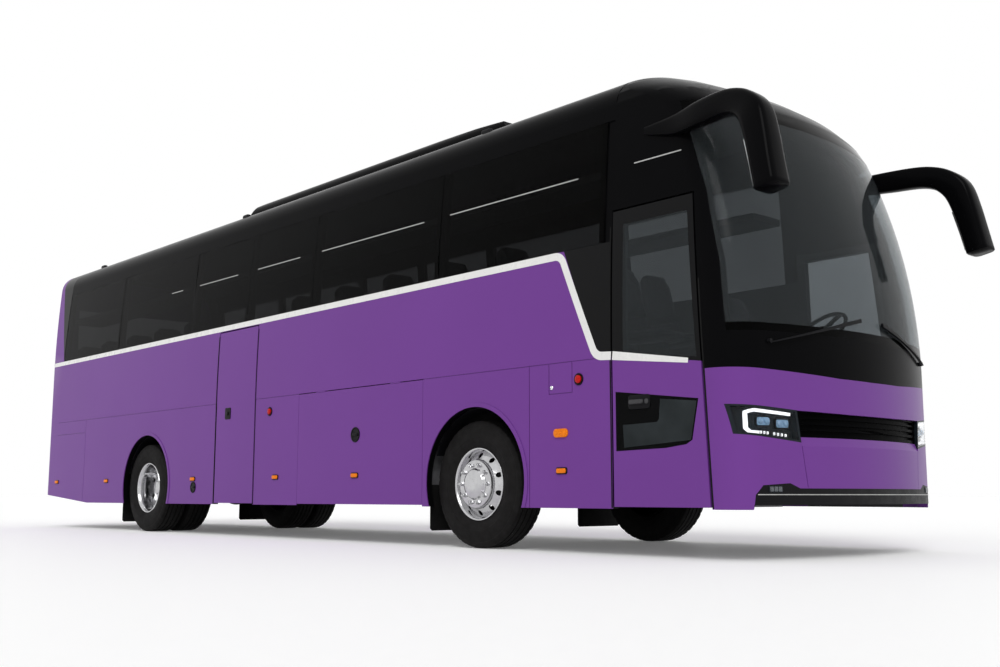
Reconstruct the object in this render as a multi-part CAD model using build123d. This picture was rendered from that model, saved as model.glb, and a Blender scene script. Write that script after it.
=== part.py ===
from build123d import *
import os
from math import asin, atan2, cos, pi, sin, sqrt

# A two-axle touring coach, in millimetres. X points forward from the front axle while the
# pieces are made, Y to the coach's left, Z up from the road. Each piece is moved by
# FRONT_AXLE_X when it is saved, so that the origin ends under the middle of the whole.

os.makedirs("parts", exist_ok=True)

# Driving sizes
WHEELBASE = 6060
FRONT_OVERHANG = 2920
REAR_OVERHANG = 3270
MIRROR_REACH = 270
HALF_WIDTH = 1275
WALL = 60
GLASS = 9
GLASS_SEAT = GLASS + 1
SKIRT_Z = 335
BELT_Z = 1432
SILL_Z = 2292
CANTRAIL_Z = 3240
FRONT_AXLE_X = (WHEELBASE + REAR_OVERHANG - FRONT_OVERHANG - MIRROR_REACH) / 2
REAR_AXLE_X = -WHEELBASE
REAR_END_X = -WHEELBASE - REAR_OVERHANG
REAR_SPLIT_X = REAR_END_X + 540
FRONT_SPLIT_X = 1565

# Curves of the body
CURVE_Z = 1400
LOFT_MID_Z = 2550
LOFT_TOP_Z = 3700
BARREL_R = 19300
FRONT_PROFILE_R = 4100
FRONT_BOW_R = 3150
FRONT_CORNER_R = 300
REAR_BOW_R = 6000
REAR_CORNER_R = 200
REAR_TOP_R = 180
ROOF_EDGE_Z = 3355
ROOF_EDGE_R = 280
ROOF_CROWN_R = 11500
DOME_FOOT_Z = 3150
DOME_ROLL = 742
DOME_CORNER_R = 700
DOME_SHARES = [0, 0.24, 0.45, 0.63, 0.77, 0.87, 0.94, 0.98, 0.996]
FAR = 20000


def box(x0, x1, y0, y1, z0, z1):
    """A block between two corners."""
    return Pos((x0 + x1) / 2, (y0 + y1) / 2, (z0 + z1) / 2) * Box(x1 - x0, y1 - y0, z1 - z0)


def side_prism(points, y0, y1):
    """An outline drawn in side view (x, z), carried from y0 to y1."""
    outline = Polyline([(x, y0, z) for x, z in points], close=True)
    return extrude(make_face(outline), amount=y1 - y0, dir=(0, 1, 0))


def front_prism(points, x0, x1):
    """An outline drawn in front view (y, z), carried from x0 to x1."""
    outline = Polyline([(x0, y, z) for y, z in points], close=True)
    return extrude(make_face(outline), amount=x1 - x0, dir=(1, 0, 0))


def post(x, y, z0, z1, radius):
    """An upright cylinder."""
    return Pos(x, y, (z0 + z1) / 2) * Cylinder(radius, z1 - z0)


def cross_tube(x, z, y0, y1, radius):
    """A cylinder lying across the coach."""
    return Pos(x, (y0 + y1) / 2, z) * Rot(90, 0, 0) * Cylinder(radius, abs(y1 - y0))


def rod(centre, along, start, end, radius):
    """A cylinder along X or Y, from start to end as offsets from a centre."""
    turn = Rot(0, 90, 0) if along == "X" else Rot(90, 0, 0)
    shift = (start + end) / 2
    offset = (shift, 0, 0) if along == "X" else (0, shift, 0)
    return Pos(*centre) * Pos(*offset) * turn * Cylinder(radius, end - start)


def turned(profile, x, y, z, way=1):
    """A ring turned about the wheel's own axle; the profile lists (offset outward, radius)."""
    outline = Polyline([(0, way * offset, radius) for offset, radius in profile], close=True)
    return Pos(x, y, z) * revolve(make_face(outline), axis=Axis.Y)


def other_side(piece):
    return mirror(piece, about=Plane.XZ)


def both_sides(piece):
    return [piece, other_side(piece)]


def solids_of(*pieces):
    """All the separate solids of some pieces, as one list."""
    found = []
    for piece in pieces:
        if isinstance(piece, (list, tuple)):
            found += solids_of(*piece)
        else:
            found += list(piece.solids())
    return found


def shifted(solid):
    """The solid moved along X by two mirrorings, which move the surfaces themselves."""
    return mirror(mirror(solid, about=Plane.YZ), about=Plane.YZ.offset(FRONT_AXLE_X / 2))


def save(name, *pieces):
    """Write one node, moved into the shared frame."""
    moved = [shifted(solid) for solid in solids_of(*pieces)]
    whole = moved[0] if len(moved) == 1 else Compound(children=moved)
    export_step(whole, os.path.join("parts", name + ".step"))


# Outer form: the long middle and the rear are one cross-section carried along the coach,
# the front is a loft of plan outlines that roll over into the roof

def side_lean(z):
    """How far the barrelled side has come in at a height."""
    return BARREL_R - sqrt(BARREL_R ** 2 - max(z - CURVE_Z, 0) ** 2)


def front_setback(z):
    return max(z - CURVE_Z, 0) ** 2 / (2 * FRONT_PROFILE_R)


def roof_edge():
    """Lean of the side where the roof's edge arc starts, and that arc's centre."""
    lean_angle = asin((ROOF_EDGE_Z - CURVE_Z) / BARREL_R)
    edge_y = HALF_WIDTH - side_lean(ROOF_EDGE_Z) - ROOF_EDGE_R * cos(lean_angle)
    edge_z = ROOF_EDGE_Z - ROOF_EDGE_R * sin(lean_angle)
    crown_z = edge_z - sqrt((ROOF_CROWN_R - ROOF_EDGE_R) ** 2 - edge_y ** 2)
    return lean_angle, edge_y, edge_z, crown_z


def roof_top_z():
    return roof_edge()[3] + ROOF_CROWN_R


def roof_curve(x, inset):
    """The roof from its left edge to its right edge, as arcs in the plane at x."""
    lean_angle, edge_y, edge_z, crown_z = roof_edge()
    shoulder = atan2(edge_z - crown_z, edge_y)
    radius = ROOF_EDGE_R - inset

    def on_edge(angle, way):
        return (x, way * (edge_y + radius * cos(angle)), edge_z + radius * sin(angle))

    middle = (lean_angle + shoulder) / 2
    crown = (x, 0, crown_z + ROOF_CROWN_R - inset)
    arcs = [
        ThreePointArc(on_edge(lean_angle, 1), on_edge(middle, 1), on_edge(shoulder, 1)),
        ThreePointArc(on_edge(shoulder, 1), crown, on_edge(shoulder, -1)),
        ThreePointArc(on_edge(shoulder, -1), on_edge(middle, -1), on_edge(lean_angle, -1)),
    ]
    return arcs, on_edge(lean_angle, 1), on_edge(lean_angle, -1)


def long_volume(x0, x1, inset):
    """The coach's cross-section, drawn in by inset, carried from x0 to x1."""
    arcs, left_top, right_top = roof_curve(x0, inset)
    half = HALF_WIDTH - inset
    middle_z = (CURVE_Z + ROOF_EDGE_Z) / 2
    middle_y = half - side_lean(middle_z)
    edges = arcs + [
        ThreePointArc(right_top, (x0, -middle_y, middle_z), (x0, -half, CURVE_Z)),
        Polyline((x0, -half, CURVE_Z), (x0, -half, SKIRT_Z), (x0, half, SKIRT_Z), (x0, half, CURVE_Z)),
        ThreePointArc((x0, half, CURVE_Z), (x0, middle_y, middle_z), left_top),
    ]
    return extrude(make_face(edges), amount=x1 - x0, dir=(1, 0, 0))


def end_points(apex_x, bow_r, corner_r, half, inset, way):
    """Side tangent, corner middle, bow tangent and apex of one end of a plan outline."""
    bow_x = apex_x - way * bow_r
    corner_y = half - corner_r
    corner_x = bow_x + way * sqrt((bow_r - corner_r) ** 2 - corner_y ** 2)
    turn = atan2(corner_y, way * (corner_x - bow_x))
    middle = (pi / 2 + turn) / 2
    small = corner_r - inset
    large = bow_r - inset
    return [
        (corner_x, half - inset),
        (corner_x + way * small * cos(middle), corner_y + small * sin(middle)),
        (bow_x + way * large * cos(turn), large * sin(turn)),
        (apex_x - way * inset, 0),
    ]


def end_face(points, flat_x, z):
    """A plan outline of one end of the coach, closed by a straight line across at flat_x."""

    def left(index):
        return (points[index][0], points[index][1], z)

    def right(index):
        return (points[index][0], -points[index][1], z)

    return make_face([
        ThreePointArc(right(2), left(3), left(2)),
        ThreePointArc(left(2), left(1), left(0)),
        Line(left(0), (flat_x, points[0][1], z)),
        Line((flat_x, points[0][1], z), (flat_x, -points[0][1], z)),
        Line((flat_x, -points[0][1], z), right(0)),
        ThreePointArc(right(0), right(1), right(2)),
    ])


def roof_half(z):
    """Half the coach's width at a height, over the roof's edge arc and crown too."""
    lean_angle, edge_y, edge_z, crown_z = roof_edge()
    shoulder_z = edge_z + ROOF_EDGE_R * sin(atan2(edge_z - crown_z, edge_y))
    if z <= ROOF_EDGE_Z:
        return HALF_WIDTH - side_lean(z)
    if z <= shoulder_z:
        return edge_y + sqrt(ROOF_EDGE_R ** 2 - (z - edge_z) ** 2)
    return sqrt(ROOF_CROWN_R ** 2 - (z - crown_z) ** 2)


def widest_corner(apex, half):
    """The largest corner radius whose arc still starts ahead of the front's rear edge."""
    run = FRONT_SPLIT_X + 6 - (apex - FRONT_BOW_R)
    return (FRONT_BOW_R ** 2 - half ** 2 - run ** 2) / (2 * (FRONT_BOW_R - half))


def front_face(z, inset):
    """The front's plan outline at a height; above the dome's foot it rolls back into the roof."""
    share = max(z - DOME_FOOT_Z, 0) / (roof_top_z() - DOME_FOOT_Z)
    half = roof_half(z)
    apex = FRONT_OVERHANG - front_setback(z) - DOME_ROLL * (1 - sqrt(1 - share ** 2))
    corner = FRONT_CORNER_R + (DOME_CORNER_R - FRONT_CORNER_R) * share ** 2
    corner = min(corner, 0.98 * half, widest_corner(apex, half))
    points = end_points(apex, FRONT_BOW_R, corner, half, inset * (1 - share ** 2), 1)
    return end_face(points, FRONT_SPLIT_X, z - inset * share ** 2)


def front_volume(inset):
    """The front drawn in by inset: upright to the waist, raked above, and domed at the top."""
    dome_height = roof_top_z() - DOME_FOOT_Z
    lower = extrude(front_face(SKIRT_Z, inset), amount=CURVE_Z - SKIRT_Z, dir=(0, 0, 1))
    raked = loft([front_face(z, inset) for z in (CURVE_Z, LOFT_MID_Z, DOME_FOOT_Z)])
    dome = loft([front_face(DOME_FOOT_Z + share * dome_height, inset) for share in DOME_SHARES], ruled=True)
    return lower + raked + dome


def rolled_end(centre_x, centre_z, radius):
    """All that lies under the roof where it rolls down into the rear wall, as one thick slab across."""
    wide = HALF_WIDTH + 200
    low = SKIRT_Z - 200
    end_x = centre_x - radius - 200
    foot = (centre_x - radius, -wide, centre_z)
    turn = (centre_x - radius * cos(pi / 4), -wide, centre_z + radius * sin(pi / 4))
    top = (centre_x, -wide, centre_z + radius)
    edges = [
        ThreePointArc(foot, turn, top),
        Polyline(top, (REAR_SPLIT_X, -wide, top[2]), (REAR_SPLIT_X, -wide, low), (end_x, -wide, low),
                 (end_x, -wide, foot[2]), foot),
    ]
    return extrude(make_face(edges), amount=2 * wide, dir=(0, 1, 0))


def rear_volume(inset):
    corners = end_points(REAR_END_X, REAR_BOW_R, REAR_CORNER_R, HALF_WIDTH, inset, -1)
    plan = extrude(end_face(corners, REAR_SPLIT_X, 0), amount=LOFT_TOP_Z, dir=(0, 0, 1))
    rolled = rolled_end(REAR_END_X + REAR_TOP_R, roof_top_z() - REAR_TOP_R, REAR_TOP_R - inset)
    return long_volume(REAR_END_X - 100, REAR_SPLIT_X, inset) & plan & rolled


# Places along the coach, measured from the front axle, and heights used by several pieces

DOOR_REAR_X = FRONT_SPLIT_X
DOOR_FRONT_X = 2444
DOOR_TOP_Z = 2525
DOOR_TOP_FRONT_X = 2330
DOOR_GAP = 14
MID_DOOR_REAR_X = -4300
MID_DOOR_FRONT_X = -3462
MID_DOOR_TOP_Z = 2222
FLAP_GAP = 8
FLAP_REAR_X = -2618
FLAP_FRONT_X = -630
LEFT_FLAP_REAR_X = -4606
PANEL_BOTTOM_Z = 348
ARCH_R = 610
ARCH_Z = 540
ARCH_LIP_WIDTH = 36
ARCH_LIP_PROUD = 6
FRONT_ARCH_X = 40
REAR_ARCH_X = REAR_AXLE_X + 60
REAR_RISE_X = REAR_END_X + 1630
REAR_RISE_Z = 450
SCREEN_BASE_Z = 1518
SCREEN_EDGE = [(2572, 1518), (2530, 2000), (2420, 2525), (2262, 3000), (2161, CANTRAIL_Z)]
BAND_TOP = [(0, 1222), (400, 1226), (1400, 1282)]
BAND_BOTTOM = [(0, 980), (300, 981), (800, 992), (1400, 1040)]
GRILLE_LOW_Z = 815
GRILLE_SETBACK = 25
SHELF_LOW_Z = 757
DECK_Z = 1400
PLATFORM_Z = 1000
INNER_Y = HALF_WIDTH - WALL
PILLARS = [1500, -460, -2455, -3735, -4995, -6990, REAR_SPLIT_X + 10]
SEAM_DEPTH = 5
SEAM_WIDTH = 6
SKIRT_SEAMS = [705, REAR_AXLE_X - 1790]
PILLAR_WIDTH = 130
PANE_GAP = 12

FRONT_OUTER = front_volume(0)
FRONT_INNER = front_volume(WALL)
FRONT_SKIN = FRONT_OUTER - FRONT_INNER
FRONT_PANE = FRONT_OUTER - front_volume(GLASS)
MID_OUTER = long_volume(REAR_SPLIT_X, FRONT_SPLIT_X, 0)
MID_INNER = long_volume(REAR_SPLIT_X, FRONT_SPLIT_X, WALL)
MID_SKIN = MID_OUTER - MID_INNER
MID_SEAM = MID_OUTER - long_volume(REAR_SPLIT_X, FRONT_SPLIT_X, SEAM_DEPTH)
MID_PANE = MID_OUTER - long_volume(REAR_SPLIT_X, FRONT_SPLIT_X, GLASS)
MID_FRAME = long_volume(REAR_SPLIT_X, FRONT_SPLIT_X, GLASS_SEAT) - MID_INNER
REAR_OUTER = rear_volume(0)
REAR_SKIN = REAR_OUTER - rear_volume(WALL)
REAR_PANE = REAR_OUTER - rear_volume(GLASS)


def arch_cutter(x):
    wide = HALF_WIDTH + 50
    foot = sqrt(ARCH_R ** 2 - (ARCH_Z - SKIRT_Z) ** 2)
    return cross_tube(x, ARCH_Z, -wide, wide, ARCH_R) + box(x - foot, x + foot, -wide, wide, 0, SKIRT_Z)


def arch_lip(x):
    """The rolled edge round a wheel arch, a little proud of both sides."""
    wide = HALF_WIDTH + ARCH_LIP_PROUD
    ring = cross_tube(x, ARCH_Z, -wide, wide, ARCH_R + ARCH_LIP_WIDTH) - arch_cutter(x)
    inside = box(x - FAR, x + FAR, -HALF_WIDTH + 10, HALF_WIDTH - 10, -FAR, FAR)
    return ring - inside - box(x - FAR, x + FAR, -FAR, FAR, -FAR, SKIRT_Z)


def rear_rise_cutter():
    return side_prism([(REAR_RISE_X, SKIRT_Z), (REAR_END_X - 50, REAR_RISE_Z + 10), (REAR_END_X - 50, 0),
                       (REAR_RISE_X, 0)], -HALF_WIDTH - 50, HALF_WIDTH + 50)


def door_front_x(z):
    """The front door's leaning front jamb."""
    return DOOR_FRONT_X - (DOOR_FRONT_X - DOOR_TOP_FRONT_X) * (z - SKIRT_Z) / (DOOR_TOP_Z - SKIRT_Z)


def door_outline(gap):
    low = PANEL_BOTTOM_Z if gap else 0
    top = DOOR_TOP_Z - gap
    return [(DOOR_REAR_X + gap, low), (door_front_x(low) - gap, low), (door_front_x(top) - gap, top),
            (DOOR_REAR_X + gap, top)]


def front_zone(points):
    """The part of the skin ahead of the doors that lies inside a front-view outline."""
    ahead = side_prism([(door_front_x(0), 0), (FRONT_OVERHANG + 300, 0), (FRONT_OVERHANG + 300, CANTRAIL_Z),
                        (door_front_x(CANTRAIL_Z), CANTRAIL_Z)], -HALF_WIDTH - 60, HALF_WIDTH + 60)
    return ahead & front_prism(points, 1500, FRONT_OVERHANG + 300)


def across(line):
    """A line given for one half of the front view, drawn right across."""
    return [(-y, z) for y, z in reversed(line)] + [(y, z) for y, z in line if y]


# Hinges of lids and flaps: one barrel on the fixed wall between two on the lid, on one pin

HINGE_R = 5
HINGE_PIN_R = 2.5
HINGE_BARREL = 50
HINGE_ROOM = 1.5
FLAP_HINGES = [-600, 600]


def hinge_leaf(centre, along, start, end, inward, up):
    """A small plate that ties a barrel to its panel."""
    x, y, z = centre
    low_z, high_z = sorted((z, z + up))
    if along == "X":
        low_y, high_y = sorted((y, y + inward))
        return box(x + start, x + end, low_y, high_y, low_z, high_z)
    return box(x, x + inward, y + start, y + end, low_z, high_z)


def add_hinge(fixed, moving, centre, along, inward):
    """Give two panels one hinge; inward points from the hinge into the wall."""
    half = HINGE_BARREL / 2
    spans = [(half + 1, half + HINGE_BARREL), (-half - HINGE_BARREL, -half - 1)]
    moving = moving - rod(centre, along, -half - 1, half + 1, HINGE_R + HINGE_ROOM)
    for start, end in spans:
        fixed = fixed - rod(centre, along, start - 1, end + 1, HINGE_R + HINGE_ROOM)
        moving = moving + rod(centre, along, start, end, HINGE_R) + hinge_leaf(centre, along, start, end, inward, -9)
    fixed = fixed + rod(centre, along, -half, half, HINGE_R) + hinge_leaf(centre, along, -half, half, inward, 9)
    moving = moving - rod(centre, along, -2 * HINGE_BARREL, 2 * HINGE_BARREL, HINGE_PIN_R + 0.05)
    fixed = fixed + rod(centre, along, -half - HINGE_BARREL, half + HINGE_BARREL, HINGE_PIN_R)
    return fixed, moving


# Sides

FILLER_REAR_X = 924
FILLER_FRONT_X = 1170
FILLER_LOW_Z = 1195
REAR_SEAM_Z = 1258


def side_wall(way):
    near, far = sorted((0, way * FAR))
    wall = MID_SKIN & box(REAR_SPLIT_X, DOOR_REAR_X, near, far, BELT_Z, SILL_Z)
    if way < 0:
        wall = wall - box(MID_DOOR_REAR_X, MID_DOOR_FRONT_X, -FAR, 0, 0, MID_DOOR_TOP_Z + 8)
    return wall


def hung_flap(wall, x0, x1, way):
    """A luggage flap under a side wall, with its hinges shared out between the two."""
    leaf = flap(x0, x1, way)
    for dx in FLAP_HINGES:
        centre = ((x0 + x1) / 2 + dx, way * HALF_WIDTH, BELT_Z - FLAP_GAP / 2)
        wall, leaf = add_hinge(wall, leaf, centre, "X", -way * 9)
    return wall, leaf


def skirt_seams():
    """Shallow grooves where the lower panels meet, and round the filler flap."""
    half = SEAM_WIDTH / 2
    grooves = box(REAR_SPLIT_X, DOOR_REAR_X, -FAR, FAR, BELT_Z - SEAM_WIDTH, BELT_Z)
    for x in SKIRT_SEAMS:
        grooves = grooves + box(x - half, x + half, -FAR, FAR, SKIRT_Z, BELT_Z)
    for x in (FILLER_REAR_X, FILLER_FRONT_X):
        grooves = grooves + box(x - half, x + half, -FAR, 0, FILLER_LOW_Z, BELT_Z)
    grooves = grooves + box(FILLER_REAR_X, FILLER_FRONT_X, -FAR, 0, FILLER_LOW_Z - half, FILLER_LOW_Z + half)
    grooves = grooves + box(REAR_SPLIT_X, SKIRT_SEAMS[-1], -FAR, FAR, REAR_SEAM_Z - half, REAR_SEAM_Z + half)
    return MID_SEAM & grooves


def skirt_panels():
    lower = MID_SKIN & box(REAR_SPLIT_X, DOOR_REAR_X, -FAR, FAR, 0, BELT_Z)
    lower = lower - skirt_seams()
    for x in (FRONT_ARCH_X, REAR_ARCH_X):
        lower = (lower - arch_cutter(x)) + arch_lip(x)
    lower = lower - rear_rise_cutter()
    lower = lower - box(MID_DOOR_REAR_X, MID_DOOR_FRONT_X, -FAR, 0, 0, BELT_Z)
    lower = lower - box(FLAP_REAR_X, FLAP_FRONT_X, -FAR, 0, 0, BELT_Z)
    return lower - box(LEFT_FLAP_REAR_X, FLAP_FRONT_X, 0, FAR, 0, BELT_Z)


def flap(x0, x1, way):
    near, far = sorted((0, way * FAR))
    return MID_SKIN & box(x0 + FLAP_GAP / 2, x1 - FLAP_GAP / 2, near, far, PANEL_BOTTOM_Z, BELT_Z - FLAP_GAP)


def window_frame():
    """Pillars behind the side glass, the front pillars and the wall over the front door."""
    pieces = []
    for x in PILLARS:
        pieces += solids_of(MID_FRAME & box(x - PILLAR_WIDTH / 2, x + PILLAR_WIDTH / 2, -FAR, FAR, SILL_Z, CANTRAIL_Z))
    front = FRONT_SKIN & box(FRONT_SPLIT_X, FRONT_OVERHANG, -FAR, FAR, SCREEN_BASE_Z, CANTRAIL_Z)
    front = front - screen_outline() - side_prism(door_outline(0), -FAR, FAR)
    return pieces + solids_of(front)


def screen_outline():
    return side_prism(SCREEN_EDGE + [(FRONT_OVERHANG + 300, CANTRAIL_Z), (FRONT_OVERHANG + 300, SCREEN_BASE_Z)],
                      -FAR, FAR)


def side_windows():
    panes = []
    for rear, front in zip(PILLARS[1:], PILLARS[:-1]):
        span = box(rear + PANE_GAP / 2, front - PANE_GAP / 2, -FAR, FAR, SILL_Z + 2, CANTRAIL_Z - 2)
        panes += solids_of(MID_PANE & span)
    return panes


def driver_panel():
    """The wall beside the driver, with the driver's own window cut."""
    wall = FRONT_SKIN & side_prism(door_outline(0), 0, FAR)
    return wall - driver_window(0)


def driver_window(gap):
    return side_prism([(1640 + gap, 1650 + gap), (2330 - gap, 1650 + gap), (2260 - gap, 2460 - gap),
                       (1640 + gap, 2460 - gap)], 0, FAR)


# Front end

# Outlines in front view, |y| and z: one lamp, the hollow inside it, and the seam beside the middle fascia
LAMP_ZONE = [(786, 778), (1236, 830), (1262, 1060), (825, 1060)]
LAMP_HOLLOW = [(803, 795), (1222, 844), (1243, 1014), (831, 982)]
LAMP_DEPTH = 46
CUT_OVERLAP = 3
FASCIA_SEAM = [(738, 480), (744, 480), (784, SHELF_LOW_Z), (778, SHELF_LOW_Z)]
LIP_TOP = [(0, 475), (809, 475), (889, 509), (1096, 495), (1144, 433), (1160, 300)]
LIP_LOW_Z = 366
GRILLE_SLOTS = [850, 890, 930, 965]
GRILLE_SLOT_HALF = 11
GRILLE_SLOT_Y = 755


def front_beam(points):
    return front_prism(points, FRONT_SPLIT_X - 60, FRONT_OVERHANG + 300)


def lamp_inner_y(z):
    """The slanted line between the grille and a lamp."""
    (low_y, low_z), (top_y, top_z) = LAMP_ZONE[0], LAMP_ZONE[3]
    return low_y + (top_y - low_y) * (z - low_z) / (top_z - low_z)


def middle_zone(low_z, top_z, wider=0):
    """The part of the front between the lamps, from one height to another."""
    low_y = lamp_inner_y(low_z) + wider
    top_y = lamp_inner_y(top_z) + wider
    return front_beam([(-low_y, low_z), (low_y, low_z), (top_y, top_z), (-top_y, top_z)])


def front_pieces():
    top = across(BAND_TOP)
    bottom = across(BAND_BOTTOM)
    wide = 1400
    scuttle = FRONT_SKIN & front_zone(top + [(wide, SCREEN_BASE_Z), (-wide, SCREEN_BASE_Z)])
    band = FRONT_SKIN & front_zone(bottom + list(reversed(top)))
    low = FRONT_SKIN & front_zone([(-wide, 0), (wide, 0)] + list(reversed(bottom)))
    lamp_zones = both_sides(front_beam(LAMP_ZONE))
    hollows = both_sides(front_beam(LAMP_HOLLOW) & (FRONT_OUTER - front_volume(LAMP_DEPTH)))
    lamps = [(low & zone) - hollow for zone, hollow in zip(lamp_zones, hollows)]
    lenses = [FRONT_PANE & zone for zone in both_sides(front_beam(LAMP_HOLLOW))]
    grille_top_z = LAMP_ZONE[3][1]
    grille = low & middle_zone(GRILLE_LOW_Z, grille_top_z) & front_volume(GRILLE_SETBACK)
    lip_zone = front_prism(across(LIP_TOP), 0, FAR)
    bumper = low - middle_zone(GRILLE_LOW_Z, grille_top_z, CUT_OVERLAP) - lip_zone
    bumper = shelved(bumper) - lamp_zones[0] - lamp_zones[1] - fascia_seams()
    lip = (low & lip_zone) - box(0, FAR, -FAR, FAR, 0, LIP_LOW_Z)
    return scuttle, band, grille_with_slots(grille), lamps, lenses, bumper, lip


def shelved(bumper):
    """The bumper with its top sloped back towards the grille."""
    form = loft([front_face(SHELF_LOW_Z, 0), front_face(GRILLE_LOW_Z, GRILLE_SETBACK)], ruled=True)
    return bumper - (middle_zone(SHELF_LOW_Z, GRILLE_LOW_Z + CUT_OVERLAP, CUT_OVERLAP) - form)


def fascia_seams():
    seam_skin = FRONT_OUTER - front_volume(SEAM_DEPTH)
    seams = both_sides(front_beam(FASCIA_SEAM))
    return (seam_skin & seams[0]) + (seam_skin & seams[1])


def grille_with_slots(grille):
    slot_skin = front_volume(-20) - front_volume(GRILLE_SETBACK + 20)
    for z in GRILLE_SLOTS:
        slot = box(0, FAR, -GRILLE_SLOT_Y, GRILLE_SLOT_Y, z - GRILLE_SLOT_HALF, z + GRILLE_SLOT_HALF)
        grille = grille - (slot_skin & slot)
    return grille


def windscreen():
    return FRONT_PANE & screen_outline()


# Roof

def roof():
    return MID_SKIN & box(REAR_SPLIT_X, FRONT_SPLIT_X, -FAR, FAR, CANTRAIL_Z, FAR)


def roof_dome():
    return FRONT_SKIN & box(FRONT_SPLIT_X, FAR, -FAR, FAR, CANTRAIL_Z, FAR)


AC_PROFILE = [(-4600, 3560), (-4400, 3770), (-4090, 3800), (-1600, 3800), (-500, 3765), (-100, 3735),
              (20, 3560)]
AC_HALF_WIDTH = 820
AC_EDGE_R = 120


def air_conditioner():
    length = AC_PROFILE[-1][0] - AC_PROFILE[0][0]
    top_z = max(z for _, z in AC_PROFILE)
    plane = Plane(origin=(AC_PROFILE[0][0], 0, top_z - AC_HALF_WIDTH), x_dir=(0, 1, 0), z_dir=(1, 0, 0))
    rounded = extrude(plane * RectangleRounded(2 * AC_HALF_WIDTH, 2 * AC_HALF_WIDTH, AC_EDGE_R), amount=length)
    return (rounded & side_prism(AC_PROFILE, -FAR, FAR)) - MID_OUTER


# Rear end

LID_HALF = 800
LID_LOW_Z = 620
LID_TOP_Z = 1500
REAR_GLASS_HALF = 900
REAR_GLASS_LOW_Z = 2380
REAR_GLASS_TOP_Z = 3120
TAIL_INNER_Y = 1010
TAIL_OUTER_Y = 1170
TAIL_LOW_Z = 900
TAIL_TOP_Z = 1720


LOUVRE_Z = [720, 780, 840, 900, 960]
LOUVRE_HALF = 14
LOUVRE_Y = 560
LOUVRE_DEPTH = 34


def rear_block(half_y, low_z, top_z):
    """A block through the rear wall, for cutting it or for keeping a part of it."""
    return box(REAR_END_X - 100, REAR_SPLIT_X - 1, -half_y, half_y, low_z, top_z)


def engine_lid():
    lid = REAR_SKIN & rear_block(LID_HALF - FLAP_GAP, LID_LOW_Z + FLAP_GAP, LID_TOP_Z - FLAP_GAP)
    for z in LOUVRE_Z:
        lid = lid - box(REAR_END_X - 100, REAR_END_X + LOUVRE_DEPTH, -LOUVRE_Y, LOUVRE_Y, z - LOUVRE_HALF,
                        z + LOUVRE_HALF)
    return lid


def rear_pieces():
    wall = REAR_SKIN - rear_rise_cutter()
    glass_hole = rear_block(REAR_GLASS_HALF, REAR_GLASS_LOW_Z, REAR_GLASS_TOP_Z)
    lamp_hole = box(REAR_END_X - 100, REAR_SPLIT_X - 1, TAIL_INNER_Y, TAIL_OUTER_Y, TAIL_LOW_Z, TAIL_TOP_Z)
    lamp_holes = both_sides(lamp_hole)
    glass = REAR_PANE & glass_hole
    lamps = [REAR_SKIN & hole for hole in lamp_holes]
    wall = wall - glass_hole - rear_block(LID_HALF, LID_LOW_Z, LID_TOP_Z) - lamp_holes[0] - lamp_holes[1]
    wall, lid = add_hinge(wall, engine_lid(), (REAR_END_X, 0, LID_TOP_Z - FLAP_GAP / 2), "Y", 9)
    return wall, glass, lid, lamps


# Floors and frame

BULKHEAD = 25
FRONT_BULKHEAD_X = FLAP_FRONT_X
REAR_BULKHEAD_X = REAR_AXLE_X + 670
STAIR_Y = -520
RAIL_INNER_Y = 380
RAIL_OUTER_Y = 460
RAIL_LOW_Z = 640
RAIL_TOP_Z = 800
STEP_RISE = 330
TREAD_Z = SKIRT_Z + 45


def luggage_floor():
    floor = box(REAR_BULKHEAD_X, FRONT_BULKHEAD_X, -INNER_Y + 8, INNER_Y - 8, SKIRT_Z + 15, SKIRT_Z + 45)
    floor = floor - box(MID_DOOR_REAR_X - 30, MID_DOOR_FRONT_X + 30, -FAR, STAIR_Y + 20, 0, FAR)
    front = box(FRONT_BULKHEAD_X, FRONT_BULKHEAD_X + BULKHEAD, -INNER_Y, INNER_Y, SKIRT_Z + 15, DECK_Z - 30)
    rear = box(REAR_BULKHEAD_X, REAR_BULKHEAD_X + BULKHEAD, -INNER_Y, INNER_Y, SKIRT_Z + 15, DECK_Z - 30)
    return floor + front + rear


def stairwell(x0, x1, y_inner, top_z):
    """Steps rising from the door to the floor inside, as one stepped block."""
    base_z = SKIRT_Z + 15
    outer = -INNER_Y + 12
    count = round((top_z - TREAD_Z) / STEP_RISE)
    rise = (top_z - TREAD_Z) / count
    run = (y_inner - outer) / count
    points = [(outer, base_z), (y_inner + 20, base_z), (y_inner + 20, top_z), (y_inner, top_z)]
    for step in reversed(range(count)):
        tread_z = TREAD_Z + rise * step
        points += [(outer + run * (step + 1), tread_z), (outer + run * step, tread_z)]
    return front_prism(points, x0, x1)


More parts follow.
